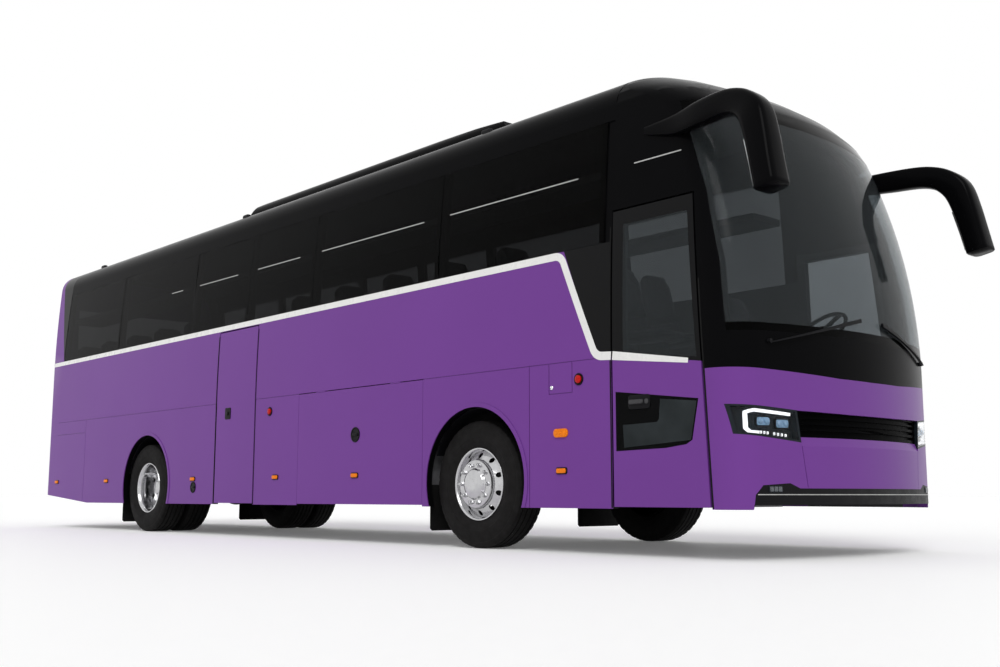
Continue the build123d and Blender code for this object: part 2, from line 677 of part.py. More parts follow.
def deck():
    floor = box(REAR_SPLIT_X, 900, -INNER_Y, INNER_Y, DECK_Z - 30, DECK_Z)
    well = box(MID_DOOR_REAR_X - 30, MID_DOOR_FRONT_X + 30, -FAR, STAIR_Y, 0, FAR)
    riser = box(880, 900, -INNER_Y, INNER_Y, PLATFORM_Z - 30, DECK_Z)
    platform = box(DOOR_REAR_X, 2640, -INNER_Y, INNER_Y, PLATFORM_Z - 30, PLATFORM_Z) & front_volume(WALL + 5)
    side = box(900, DOOR_REAR_X, -INNER_Y, INNER_Y, PLATFORM_Z - 30, PLATFORM_Z)
    front_well = box(DOOR_REAR_X - 20, DOOR_FRONT_X + 20, -FAR, STAIR_Y, 0, FAR)
    for x0, way in ((FLAP_REAR_X, -1), (LEFT_FLAP_REAR_X, 1)):
        edge = sorted((way * (INNER_Y - FLAP_GAP), way * FAR))
        floor = floor - box(x0 - 1, FLAP_FRONT_X + 1, edge[0], edge[1], 0, FAR)
    floor = (floor - well) + riser + ((platform + side) - front_well)
    mid_steps = stairwell(MID_DOOR_REAR_X - 30, MID_DOOR_FRONT_X + 30, STAIR_Y, DECK_Z)
    front_steps = stairwell(DOOR_REAR_X - 20, DOOR_FRONT_X + 20, STAIR_Y, PLATFORM_Z)
    return floor + mid_steps + front_steps


def underframe():
    rails = []
    for way in (-1, 1):
        low, high = sorted((way * RAIL_INNER_Y, way * RAIL_OUTER_Y))
        rails.append(box(FRONT_BULKHEAD_X + BULKHEAD, 2560, low, high, RAIL_LOW_Z, RAIL_TOP_Z))
        rails.append(box(REAR_END_X + 330, REAR_BULKHEAD_X, low, high, RAIL_LOW_Z, RAIL_TOP_Z))
    front = rails[0] + rails[2] + box(2560, 2640, -INNER_Y + 200, INNER_Y - 200, RAIL_LOW_Z - 60, PLATFORM_Z - 30)
    rear = rails[1] + rails[3] + box(REAR_END_X + 290, REAR_END_X + 330, -900, 900, 520, RAIL_TOP_Z)
    rear = rear + box(REAR_RISE_X, REAR_RISE_X + 120, -INNER_Y, INNER_Y, RAIL_LOW_Z, RAIL_TOP_Z)
    return front, rear


def engine():
    return box(REAR_END_X + 340, REAR_RISE_X - 10, -RAIL_INNER_Y, RAIL_INNER_Y, 500, DECK_Z - 60)


# Inside

SEAT_PITCH = 800
FIRST_SEAT_X = 300
SEAT_ROWS = 12
SEAT_INNER_Y = 240
SEAT_OUTER_Y = 1150
SEAT_SHAPE = [(60, 0), (360, 0), (360, 380), (460, 400), (460, 500), (20, 480), (-130, 1150), (-230, 1130),
              (-80, 400), (60, 380)]


def seat(x, y0, y1, z):
    return side_prism([(x + dx, z + dz) for dx, dz in SEAT_SHAPE], y0, y1)


def seats():
    placed = []
    for row in range(SEAT_ROWS):
        x = FIRST_SEAT_X - row * SEAT_PITCH
        placed.append(seat(x, SEAT_INNER_Y, SEAT_OUTER_Y, DECK_Z))
        if x + 500 < MID_DOOR_REAR_X - 30 or x - 240 > MID_DOOR_FRONT_X + 30:
            placed.append(seat(x, -SEAT_OUTER_Y, -SEAT_INNER_Y, DECK_Z))
    placed.append(seat(1420, 380, 860, PLATFORM_Z))
    return placed


def parcel_racks():
    rack = box(REAR_SPLIT_X + 60, PILLARS[0] - 80, 760, FAR, 2820, 2880) & MID_INNER
    return both_sides(rack)


STEER_X = 2130
STEER_Y = 620
STEER_Z = 1730
STEER_TILT = -35
STEER_R = 225
STEER_HUB = 40


def dashboard():
    panel = side_prism([(2330, PLATFORM_Z), (2640, PLATFORM_Z), (2700, 1480), (2480, 1500), (2330, 1400)],
                       -480, INNER_Y)
    column = Pos(STEER_X, STEER_Y, STEER_Z) * Rot(0, STEER_TILT, 0) * Pos(0, 0, -STEER_HUB / 2 - 0.3 - 310) * Cylinder(35, 620)
    return (panel + column) & FRONT_INNER


def steering_wheel():
    rim = Torus(STEER_R, 16)
    hub = Cylinder(60, STEER_HUB)
    spokes = Box(2 * STEER_R, 50, 14) + Box(50, 2 * STEER_R, 14)
    return Pos(STEER_X, STEER_Y, STEER_Z) * Rot(0, STEER_TILT, 0) * (rim + hub + spokes)


# Running gear

WHEEL_Z = 522
BEAD_R = 286
FRONT_HALF_TRACK = 1056
REAR_OUTER_Y = 1076
REAR_INNER_Y = 741
KINGPIN_Y = 996
SPINDLE_R = 42
SPINDLE_GAP = 0.5
TYRE_SHAPE = [(-112, BEAD_R), (112, BEAD_R), (149, 400), (122, 522), (-122, 522), (-149, 400)]


def tyre(x, y):
    return turned(TYRE_SHAPE, x, y, WHEEL_Z)


def rim(x, y, way, dish, crown, hub_out, hub_in):
    """A wheel: barrel with two lips, and a disc set out by dish, its middle raised by crown."""
    bore = SPINDLE_R + SPINDLE_GAP
    barrel = [(-128, 298), (-118, 298), (-115, BEAD_R - 0.5), (115, BEAD_R - 0.5), (118, 298), (128, 298),
              (128, 282), (110, 268), (-110, 268), (-128, 282)]
    face = dish + crown
    disc = [(dish + 10, 270), (dish - 10, 270), (face - 10, 200), (face - 10, 90), (hub_in, 90), (hub_in, bore),
            (hub_out, bore), (hub_out, 100), (face + 10, 125), (face + 10, 205)]
    return turned(barrel, x, y, WHEEL_Z, way) + turned(disc, x, y, WHEEL_Z, way)


MUD_FLAP = 8
MUD_FLAP_LOW_Z = 215
FRONT_MUD_FLAP = (850, 1205, 520)
REAR_MUD_FLAP = (590, INNER_Y, 700)
REAR_MUD_FLAP_X = REAR_AXLE_X - 668


def mud_flaps():
    """Rubber flaps behind the wheels, hung on the front bulkhead and on the skirts' inner faces."""
    placed = []
    front_x = FRONT_BULKHEAD_X + BULKHEAD
    for x, (inner, outer, top) in ((front_x, FRONT_MUD_FLAP), (REAR_MUD_FLAP_X, REAR_MUD_FLAP)):
        placed += both_sides(box(x, x + MUD_FLAP, inner, outer, MUD_FLAP_LOW_Z, top))
    return placed


def front_axle():
    depth = 45
    beam = front_prism([(-960, 470), (-880, 470), (-720, 390), (720, 390), (880, 470), (960, 470), (960, 575),
                        (880, 575), (700, 490), (-700, 490), (-880, 575), (-960, 575)], -depth, depth)
    for way in (-1, 1):
        beam = beam + post(0, way * KINGPIN_Y, 465, 580, 52)
    for way in (-1, 1):
        beam = beam - post(0, way * KINGPIN_Y, 400, 640, 25.5)
    return beam


def knuckle():
    """The left steering knuckle: kingpin, yoke and spindle."""
    pin = post(0, KINGPIN_Y, 410, 634, 25)
    lower = post(0, KINGPIN_Y, 410, 459, 50) + box(-50, 50, KINGPIN_Y, KINGPIN_Y + 90, 410, 459)
    upper = post(0, KINGPIN_Y, 586, 634, 50) + box(-50, 50, KINGPIN_Y, KINGPIN_Y + 90, 586, 634)
    back = box(-50, 50, KINGPIN_Y + 60, KINGPIN_Y + 90, 410, 634)
    spindle = cross_tube(0, WHEEL_Z, KINGPIN_Y + 60, FRONT_HALF_TRACK + 150, SPINDLE_R)
    return pin + lower + upper + back + spindle


def rear_axle():
    tube = cross_tube(REAR_AXLE_X, WHEEL_Z, -560, 560, 90)
    ends = cross_tube(REAR_AXLE_X, WHEEL_Z, -REAR_OUTER_Y - 20, REAR_OUTER_Y + 20, SPINDLE_R)
    bulb = Pos(REAR_AXLE_X, 0, WHEEL_Z) * Sphere(210)
    axle = tube + ends + bulb
    for way in (-1, 1):
        low, high = sorted((way * 390, way * 450))
        axle = axle + box(REAR_AXLE_X - 440, REAR_AXLE_X + 440, low, high, 460, 500)
    return axle


def air_springs():
    found = []
    for way in (-1, 1):
        found.append(post(0, way * 420, 490, RAIL_LOW_Z, 110))
        for dx in (-330, 330):
            found.append(post(REAR_AXLE_X + dx, way * 420, 500, RAIL_LOW_Z, 110))
    return found


# Doors that swing out on arms

ARM_BEHIND_JAMB = 180
ARM_REACH = 480
ARM_Y = -INNER_Y + 80
ARM_POST_R = 22
ARM_EYE_R = 26
ARM_PIN_R = 12


def door_arm(front_x, arm_heights, post_top):
    """An upright post with arms that reach back to the leaf's brackets."""
    x = front_x - ARM_BEHIND_JAMB
    whole = post(x, ARM_Y, TREAD_Z + 0.3, post_top, ARM_POST_R)
    for z in arm_heights:
        arm = box(x - ARM_REACH, x, ARM_Y - 15, ARM_Y + 15, z - 15, z + 15) + post(x - ARM_REACH, ARM_Y, z - 15, z + 15, ARM_EYE_R)
        whole = whole + (arm - post(x - ARM_REACH, ARM_Y, z - 30, z + 30, ARM_PIN_R + 0.5))
    return whole


def door_brackets(front_x, arm_heights):
    x = front_x - ARM_BEHIND_JAMB - ARM_REACH
    whole = None
    for z in arm_heights:
        piece = post(x, ARM_Y, z - 45, z + 45, ARM_PIN_R)
        for low in (z - 45, z + 25):
            piece = piece + box(x - 30, x + 30, -INNER_Y, ARM_Y, low, low + 20) + post(x, ARM_Y, low, low + 20, 30)
        whole = piece if whole is None else whole + piece
    return whole


FRONT_ARM_Z = [900, 1250]
MID_ARM_Z = [900, 1900]
DOOR_GLASS_OUTLINE = [(1680, 1440), (2340, 1365), (2270, 2400), (1680, 2400)]
DOOR_POCKET_OUTLINE = [(1605, 742), (2060, 752), (2240, 772), (2292, 800), (2350, 1078), (1605, 1170)]


def front_door():
    leaf = FRONT_SKIN & side_prism(door_outline(DOOR_GAP), -FAR, 0)
    leaf = leaf - side_prism(DOOR_GLASS_OUTLINE, -FAR, 0) - low_door_pane()
    return leaf + door_brackets(DOOR_FRONT_X, FRONT_ARM_Z)


def low_door_pane():
    """The dark pane let into the lower half of the front door."""
    return FRONT_PANE & side_prism(DOOR_POCKET_OUTLINE, -FAR, 0)


def front_door_glass():
    return [FRONT_PANE & side_prism(DOOR_GLASS_OUTLINE, -FAR, 0), low_door_pane()]


def mid_door():
    span = box(MID_DOOR_REAR_X + DOOR_GAP, MID_DOOR_FRONT_X - DOOR_GAP, -FAR, 0, PANEL_BOTTOM_Z, MID_DOOR_TOP_Z - 6)
    return (MID_SKIN & span) + door_brackets(MID_DOOR_FRONT_X, MID_ARM_Z)


# Mirrors and wipers: each mirror is a loft through a few upright or leaning rectangles

MIRROR_SECTIONS = [
    # x, y, z, tilt about Y, breadth, depth
    (1872, 1200, 3072, 4, 44, 60),
    (2163, 1225, 3040, 2, 90, 143),
    (2419, 1285, 3040, 1, 120, 172),
    (2650, 1332, 3038, 3, 142, 174),
    (2780, 1358, 3016, 18, 156, 180),
    (2880, 1378, 2968, 34, 172, 194),
    (2966, 1400, 2878, 54, 190, 212),
    (3016, 1415, 2732, 72, 205, 195),
    (3061, 1430, 2536, 78, 215, 182),
    (3098, 1440, 2363, 79, 222, 178),
]


def mirror_arm():
    sections = []
    for x, y, z, tilt, breadth, depth in MIRROR_SECTIONS:
        plane = Plane(origin=(x, y, z), x_dir=(0, 1, 0), z_dir=(cos(tilt * pi / 180), 0, -sin(tilt * pi / 180)))
        sections.append(plane * RectangleRounded(breadth, depth, min(breadth, depth) * 0.35))
    return loft(sections, ruled=True) - FRONT_OUTER


def wipers():
    blade_skin = front_volume(-30) - front_volume(-10)
    found = []
    for way in (-1, 1):
        outline = [(way * 1040, 1440), (way * 1010, 1440), (way * 150, 1640), (way * 150, 1668)]
        arm = blade_skin & front_zone(outline)
        pivot = Pos(2640, way * 1020, 1450) * Rot(0, 90, 0) * Cylinder(16, 260)
        found.append((arm + pivot) - FRONT_OUTER)
    return found


def build():
    scuttle, band, grille, lamps, lenses, bumper, lip = front_pieces()
    rear_wall, rear_glass, lid, tail_lamps = rear_pieces()
    save("roof", roof())
    save("roof_dome", roof_dome())
    right_wall, right_flap = hung_flap(side_wall(-1), FLAP_REAR_X, FLAP_FRONT_X, -1)
    left_wall, left_front_flap = hung_flap(side_wall(1), FLAP_REAR_X, FLAP_FRONT_X, 1)
    left_wall, left_rear_flap = hung_flap(left_wall, LEFT_FLAP_REAR_X, FLAP_REAR_X, 1)
    save("side_wall_left", left_wall)
    save("side_wall_right", right_wall)
    skirts = skirt_panels().solids()
    save("skirt_panels_left", [piece for piece in skirts if piece.center().Y > 0])
    save("skirt_panels_right", [piece for piece in skirts if piece.center().Y < 0])
    save("window_frame", window_frame())
    save("side_windows", side_windows(), FRONT_PANE & driver_window(0))
    save("driver_panel", driver_panel())
    save("windscreen", windscreen())
    save("scuttle_panel", scuttle)
    save("front_band", band)
    save("front_grille", grille)
    save("headlamps", lamps)
    save("headlamp_lenses", lenses)
    save("front_bumper", bumper)
    save("front_lip", lip)
    save("rear_wall", rear_wall)
    save("rear_window", rear_glass)
    save("engine_lid", lid)
    save("tail_lamps", tail_lamps)
    save("air_conditioner", air_conditioner())
    save("mirrors", both_sides(mirror_arm()))
    save("wipers", wipers())
    save("luggage_floor", luggage_floor())
    save("deck", deck())
    save("underframe", underframe())
    save("engine", engine())
    save("seats", seats())
    save("parcel_racks", parcel_racks())
    save("dashboard", dashboard())
    save("steering_wheel", steering_wheel())
    save("front_axle", front_axle())
    save("rear_axle", rear_axle())
    save("air_springs", air_springs())
    save("mud_flaps", mud_flaps())
    save("front_door", front_door())
    save("front_door_glass", front_door_glass())
    save("front_door_arm", door_arm(DOOR_FRONT_X, FRONT_ARM_Z, 1500))
    save("mid_door", mid_door())
    save("mid_door_arm", door_arm(MID_DOOR_FRONT_X, MID_ARM_Z, 2100))
    save("luggage_flap_right", right_flap)
    save("luggage_flap_left_front", left_front_flap)
    save("luggage_flap_left_rear", left_rear_flap)
    for side, way in (("left", 1), ("right", -1)):
        save("knuckle_" + side, knuckle() if way > 0 else other_side(knuckle()))
        save("front_tyre_" + side, tyre(0, way * FRONT_HALF_TRACK))
        save("front_rim_" + side, rim(0, way * FRONT_HALF_TRACK, way, 68, 26, 130, 40))
        save("rear_tyres_" + side, tyre(REAR_AXLE_X, way * REAR_OUTER_Y), tyre(REAR_AXLE_X, way * REAR_INNER_Y))
        save("rear_rims_" + side, rim(REAR_AXLE_X, way * REAR_OUTER_Y, way, -100, 0, 0, -150),
             rim(REAR_AXLE_X, way * REAR_INNER_Y, way, 100, 0, 150, 60))


build()
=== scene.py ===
import math

import bmesh
import bpy
from mathutils import Matrix, Vector

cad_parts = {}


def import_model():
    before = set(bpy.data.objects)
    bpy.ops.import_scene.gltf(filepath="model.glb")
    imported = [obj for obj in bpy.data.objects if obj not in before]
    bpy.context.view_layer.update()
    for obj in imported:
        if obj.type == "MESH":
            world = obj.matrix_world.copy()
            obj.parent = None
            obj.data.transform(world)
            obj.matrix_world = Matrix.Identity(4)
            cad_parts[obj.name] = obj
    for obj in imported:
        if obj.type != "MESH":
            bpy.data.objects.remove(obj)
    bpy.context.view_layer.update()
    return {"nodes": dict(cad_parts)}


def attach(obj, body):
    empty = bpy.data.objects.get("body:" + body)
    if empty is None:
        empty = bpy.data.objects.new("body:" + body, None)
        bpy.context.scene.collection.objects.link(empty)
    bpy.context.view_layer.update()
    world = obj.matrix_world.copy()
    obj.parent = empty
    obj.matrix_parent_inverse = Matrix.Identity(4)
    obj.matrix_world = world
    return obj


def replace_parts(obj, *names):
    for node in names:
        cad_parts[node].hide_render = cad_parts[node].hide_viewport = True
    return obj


# Looks of a two-axle touring coach, in metres: X forward, Y to the coach's left, Z up.

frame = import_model()
NODES = frame["nodes"]
SIDES = (("left", 1), ("right", -1))

# Places that follow the solids
AXLE_X = 3.070
REAR_AXLE_X = AXLE_X - 6.06
REAR_END_X = AXLE_X - 9.33
DOOR_REAR_X = AXLE_X + 1.565
WHEEL_Z = 0.522
HALF_WIDTH = 1.275
CURVE_Z = 1.4
BARREL_R = 19.3
LINING_Y = 1.225
BELT_Z = 1.432
SILL_Z = 2.292
REAR_BOW_R = 6.0
FRONT_BOW_R = 3.15
FRONT_CORNER_R = 0.3
BOW_X = AXLE_X + 2.92 - FRONT_BOW_R
CORNER_Y = HALF_WIDTH - FRONT_CORNER_R
CORNER_X = BOW_X + math.sqrt((FRONT_BOW_R - FRONT_CORNER_R) ** 2 - CORNER_Y ** 2)


def side_y(z, proud=0.0):
    """Distance of the barrelled side from the middle of the coach at a height."""
    return HALF_WIDTH - BARREL_R + math.sqrt(BARREL_R ** 2 - max(z - CURVE_Z, 0) ** 2) + proud


def front_at(y, z, proud=0.0):
    """A point on the upright lower front, by its distance from the middle."""
    way = 1 if y >= 0 else -1
    turn = math.asin(min(abs(y) / FRONT_BOW_R, 1))
    if turn <= math.atan2(CORNER_Y, CORNER_X - BOW_X):
        radius = FRONT_BOW_R + proud
        return Vector((BOW_X + radius * math.cos(turn), way * radius * math.sin(turn), z))
    turn = math.asin(min((abs(y) - CORNER_Y) / FRONT_CORNER_R, 1))
    radius = FRONT_CORNER_R + proud
    return Vector((CORNER_X + radius * math.cos(turn), way * (CORNER_Y + radius * math.sin(turn)), z))


# Materials

MATERIALS = {}
EDGE_ON = 0.35
GRAIN_DEPTH = 0.002


def operate(nodes, links, operation, *values):
    """The result of one math node, whose values are sockets or numbers."""
    node = nodes.new("ShaderNodeMath")
    node.operation = operation
    for value, slot in zip(values, node.inputs):
        if isinstance(value, bpy.types.NodeSocket):
            links.new(value, slot)
        else:
            slot.default_value = value
    return node.outputs["Value"]


def colour_ramp(nodes, links, source, shades, low=0.35, high=0.65):
    ramp = nodes.new("ShaderNodeValToRGB")
    ramp.color_ramp.elements[0].position = low
    ramp.color_ramp.elements[1].position = high
    for element, shade in zip(ramp.color_ramp.elements, shades):
        element.color = (*shade, 1)
    links.new(source, ramp.inputs["Fac"])
    return ramp.outputs["Color"]


def varied(colour, spread):
    """A shade a little darker and one a little lighter than a colour."""
    return [tuple(c * (1 - spread) for c in colour), tuple(min(c * (1 + spread), 1) for c in colour)]


def noise_at(nodes, links, place, scale, detail=4):
    noise = nodes.new("ShaderNodeTexNoise")
    noise.inputs["Scale"].default_value = scale
    noise.inputs["Detail"].default_value = detail
    links.new(place.outputs["Object"], noise.inputs["Vector"])
    return noise.outputs["Fac"]


def side_of_line(nodes, links, place, start, end):
    """One where a point lies to the left of a line drawn in side view from start to end."""
    (x0, z0), (x1, z1) = start, end
    dot = nodes.new("ShaderNodeVectorMath")
    dot.operation = "DOT_PRODUCT"
    dot.inputs[1].default_value = (z0 - z1, 0, x1 - x0)
    links.new(place.outputs["Object"], dot.inputs[0])
    return operate(nodes, links, "GREATER_THAN", dot.outputs["Value"], (z0 - z1) * x0 + (x1 - x0) * z0)


def small_sideways(nodes, links, vector, limit):
    """One where the sideways part of a vector is smaller than a limit."""
    parts = nodes.new("ShaderNodeSeparateXYZ")
    links.new(vector, parts.inputs["Vector"])
    size = operate(nodes, links, "ABSOLUTE", parts.outputs["Y"])
    return operate(nodes, links, "LESS_THAN", size, limit)


def all_of(nodes, links, masks):
    """One where all the masks are one."""
    result = masks[0]
    for mask in masks[1:]:
        result = operate(nodes, links, "MULTIPLY", result, mask)
    return result


def mixed(nodes, links, mask, first, second):
    """The second colour where a mask is one, and the first elsewhere."""
    mix = nodes.new("ShaderNodeMix")
    mix.data_type = "RGBA"
    links.new(mask, mix.inputs["Factor"])
    links.new(first, mix.inputs["A"])
    links.new(second, mix.inputs["B"])
    return mix.outputs["Result"]


def finish(name, colour, roughness, metallic=0.0, scale=6.0, spread=0.06, wear=0.06, bump=0.0,
           bump_scale=400.0, other=None, lines=(), panel_edge=None, lining=None, **sockets):
    """A procedural material, kept by its name: two close shades, an uneven gloss and a fine bump.

    Where other is given, it takes over to the left of all the lines, each a pair of points in side view.
    With panel_edge it takes over on the cut edges of a side panel, up to that distance from the middle.
    A lining is the colour of the inner face of a wall.
    """
    material = bpy.data.materials.new(name)
    material.use_nodes = True
    nodes = material.node_tree.nodes
    links = material.node_tree.links
    shader = nodes["Principled BSDF"]
    place = nodes.new("ShaderNodeTexCoord")
    cloud = noise_at(nodes, links, place, scale)

    def shaded(tone):
        return colour_ramp(nodes, links, cloud, varied(tone, spread))

    base = shaded(colour)
    if other is not None:
        masks = [side_of_line(nodes, links, place, *line) for line in lines]
        if panel_edge is not None:
            masks.append(small_sideways(nodes, links, place.outputs["Normal"], EDGE_ON))
            masks.append(small_sideways(nodes, links, place.outputs["Object"], panel_edge))
        mask = all_of(nodes, links, masks)
        base = mixed(nodes, links, mask, base, shaded(other))
    if lining is not None:
        mask = small_sideways(nodes, links, place.outputs["Object"], LINING_Y)
        base = mixed(nodes, links, mask, base, shaded(lining))
    links.new(base, shader.inputs["Base Color"])
    smudge = noise_at(nodes, links, place, scale * 2.3, 6)
    gloss = [(max(roughness - wear, 0.02),) * 3, (roughness + wear,) * 3]
    links.new(colour_ramp(nodes, links, smudge, gloss), shader.inputs["Roughness"])
    shader.inputs["Metallic"].default_value = metallic
    for socket, value in sockets.items():
        shader.inputs[socket.replace("_", " ")].default_value = value
    if bump:
        grain = noise_at(nodes, links, place, bump_scale, 3)
        relief = nodes.new("ShaderNodeBump")
        relief.inputs["Strength"].default_value = bump
        relief.inputs["Distance"].default_value = GRAIN_DEPTH
        links.new(grain, relief.inputs["Height"])
        links.new(relief.outputs["Normal"], shader.inputs["Normal"])
    MATERIALS[name] = material
    return material


PURPLE = (0.160, 0.047, 0.275)
BLACK = (0.0022, 0.0022, 0.0026)
WHITE = (0.78, 0.78, 0.76)
LINING = (0.060, 0.060, 0.064)
DIAGONAL = ((AXLE_X + 1.075, SILL_Z), (AXLE_X + 1.441, 1.423))
DOOR_LINE = ((AXLE_X + 1.58, 1.435), (AXLE_X + 2.444, 1.320))
REAR_EDGE = ((AXLE_X - 9.12, 3.45), (AXLE_X - 8.80, 2.35))
REAR_SILL = ((AXLE_X - 9.2, SILL_Z), (AXLE_X - 8.0, SILL_Z))

LOW_PANE_TOP = ((AXLE_X + 1.5, 1.25), (AXLE_X + 2.6, 1.25))
SCREEN_FOOT = ((0.0, 1.575), (10.0, 1.575))
SCREEN_HEAD = ((10.0, 3.13), (0.0, 3.13))
DRIVER_PANE_REAR = ((AXLE_X + 1.55, 3.0), (AXLE_X + 1.55, 1.0))

LIP_FOOT = ((10.0, 0.367), (0.0, 0.367))
LIP_END_X = front_at(1.154, 0).x
LIP_END = ((LIP_END_X, 1.0), (LIP_END_X, 0.0))
PANEL_EDGE_Y = 1.272

PAINT = dict(roughness=0.30, wear=0.02, spread=0.02, scale=0.7, bump=0.008, bump_scale=1200, IOR=1.2)
GLOSS_BLACK = dict(roughness=0.2, wear=0.03, scale=2.0, bump=0.008, bump_scale=1200, IOR=1.09)
CLEAR = dict(wear=0.01, spread=0.02, Transmission_Weight=0.94, IOR=1.1)
SCREEN_TINT = (0.285, 0.315, 0.33)

finish("paint", PURPLE, **PAINT)
finish("side_paint", PURPLE, other=BLACK, lines=[DIAGONAL], lining=LINING, **PAINT)
finish("door_paint", PURPLE, other=BLACK, lines=[DOOR_LINE], lining=LINING, **PAINT)
finish("skirt_paint", PURPLE, other=BLACK, panel_edge=PANEL_EDGE_Y, **PAINT)
finish("bumper_paint", PURPLE, other=BLACK, lines=[LIP_FOOT, LIP_END], **PAINT)
finish("rear_paint", PURPLE, other=BLACK, lines=[REAR_EDGE, REAR_SILL], **PAINT)
finish("black", BLACK, **GLOSS_BLACK)
finish("trim", (0.004, 0.004, 0.005), 0.45, bump=0.15, bump_scale=1500, IOR=1.2)
finish("deep_black", (0.001, 0.001, 0.0012), 0.3, bump=0.05, bump_scale=900, IOR=1.05)
finish("white", WHITE, 0.3, spread=0.02, Coat_Weight=0.3)
finish("rubber", (0.006, 0.006, 0.006), 0.75, scale=9, spread=0.15, bump=0.2, bump_scale=700, IOR=1.2)
finish("tyre", (0.008, 0.0075, 0.0075), 0.72, scale=11, spread=0.2, bump=0.25, bump_scale=900, IOR=1.2)
finish("alloy", (0.52, 0.52, 0.53), 0.16, metallic=1.0, scale=14, spread=0.06, bump=0.02)
finish("dark_steel", (0.022, 0.022, 0.024), 0.55, scale=8, spread=0.25, bump=0.2, bump_scale=250)
finish("floor", (0.10, 0.10, 0.105), 0.65, scale=20, spread=0.15, bump=0.15)
finish("cloth", (0.030, 0.028, 0.036), 0.9, scale=60, spread=0.3, bump=0.5, bump_scale=1300,
       Sheen_Weight=0.3)
finish("chrome", (0.82, 0.82, 0.84), 0.08, metallic=1.0, wear=0.03, scale=25)
finish("amber", (0.92, 0.20, 0.004), 0.3, scale=160, spread=0.3, IOR=1.2, Coat_Weight=0.06)
finish("red", (0.48, 0.010, 0.008), 0.3, scale=160, spread=0.3, IOR=1.2, Coat_Weight=0.06)
finish("screen_glass", BLACK, 0.03, other=SCREEN_TINT, lines=[SCREEN_FOOT, SCREEN_HEAD], **CLEAR)
finish("door_glass", (0.04, 0.042, 0.045), 0.03, other=SCREEN_TINT, lines=[LOW_PANE_TOP], **CLEAR)
finish("side_glass", (0.10, 0.102, 0.105), 0.03, wear=0.01, spread=0.02, other=(0.30, 0.31, 0.32),
       lines=[DRIVER_PANE_REAR], Transmission_Weight=1.0, IOR=1.09)
finish("lens", (0.93, 0.94, 0.95), 0.03, wear=0.01, spread=0.01, Transmission_Weight=1.0, IOR=1.12)
finish("lamp_white", (0.9, 0.92, 0.95), 0.2, scale=90, spread=0.03, Emission_Strength=0.5,
       Emission_Color=(1, 1, 1, 1))
finish("lamp_blue", (0.16, 0.30, 0.46), 0.1, scale=70, spread=0.2, Coat_Weight=0.8)
finish("lamp_grey", (0.012, 0.016, 0.020), 0.3, scale=50, spread=0.15, IOR=1.2)
finish("lamp_dim", (0.10, 0.11, 0.12), 0.15, scale=90, spread=0.3, IOR=1.3)
finish("pane_haze", (0.026, 0.031, 0.033), 0.1, scale=3, spread=0.25, IOR=1.1)
finish("mirror", (0.85, 0.86, 0.87), 0.03, metallic=1.0, wear=0.01, spread=0.01)
finish("line_grey", (0.42, 0.42, 0.41), 0.4, scale=30, spread=0.1)
finish("plate", (0.72, 0.72, 0.70), 0.4, scale=30, spread=0.04, bump=0.05)

DRESS = {
    "side_paint": ["side_wall_left", "side_wall_right"],
    "door_paint": ["front_door", "driver_panel"],
    "rear_paint": ["rear_wall"],
    "skirt_paint": ["skirt_panels_left", "skirt_panels_right"],
    "bumper_paint": ["front_bumper"],
    "paint": ["front_band", "engine_lid", "mid_door", "luggage_flap_right", "luggage_flap_left_front",
              "luggage_flap_left_rear"],
    "black": ["roof", "roof_dome", "window_frame", "scuttle_panel", "air_conditioner", "mirrors"],
    "deep_black": ["front_grille"],
    "trim": ["front_lip", "wipers", "dashboard", "steering_wheel"],
    "screen_glass": ["windscreen"],
    "door_glass": ["front_door_glass"],
    "side_glass": ["side_windows", "rear_window"],
    "red": ["tail_lamps"],
    "lens": ["headlamp_lenses"],
    "lamp_grey": ["headlamps"],
    "floor": ["luggage_floor", "deck", "parcel_racks"],
    "cloth": ["seats"],
    "dark_steel": ["underframe", "engine", "front_axle", "rear_axle", "knuckle_left", "knuckle_right",
                   "front_door_arm", "mid_door_arm"],
    "rubber": ["air_springs", "mud_flaps"],
    "alloy": ["front_rim_left", "front_rim_right", "rear_rims_left", "rear_rims_right"],
    "tyre": ["front_tyre_left", "front_tyre_right", "rear_tyres_left", "rear_tyres_right"],
}
for look, names in DRESS.items():
    for node_name in names:
        mesh = NODES[node_name].data
        mesh.materials.clear()
        mesh.materials.append(MATERIALS[look])


def soften(node_name, angle=28):
    """Shade a curved solid smoothly across its patches, and keep its real edges sharp."""
    node = NODES[node_name]
    weld = node.modifiers.new("weld", "WELD")
    weld.merge_threshold = 0.0002
    split = node.modifiers.new("split", "EDGE_SPLIT")
    split.split_angle = math.radians(angle)
    split.use_edge_sharp = False
    node.modifiers.new("even", "WEIGHTED_NORMAL").weight = 50


for node_name in ("roof_dome", "windscreen", "roof", "rear_wall", "air_conditioner"):
    soften(node_name)


# Mesh helpers

def in_scene(name, data):
    """A new object in the scene."""
    obj = bpy.data.objects.new(name, data)
    bpy.context.scene.collection.objects.link(obj)
    return obj


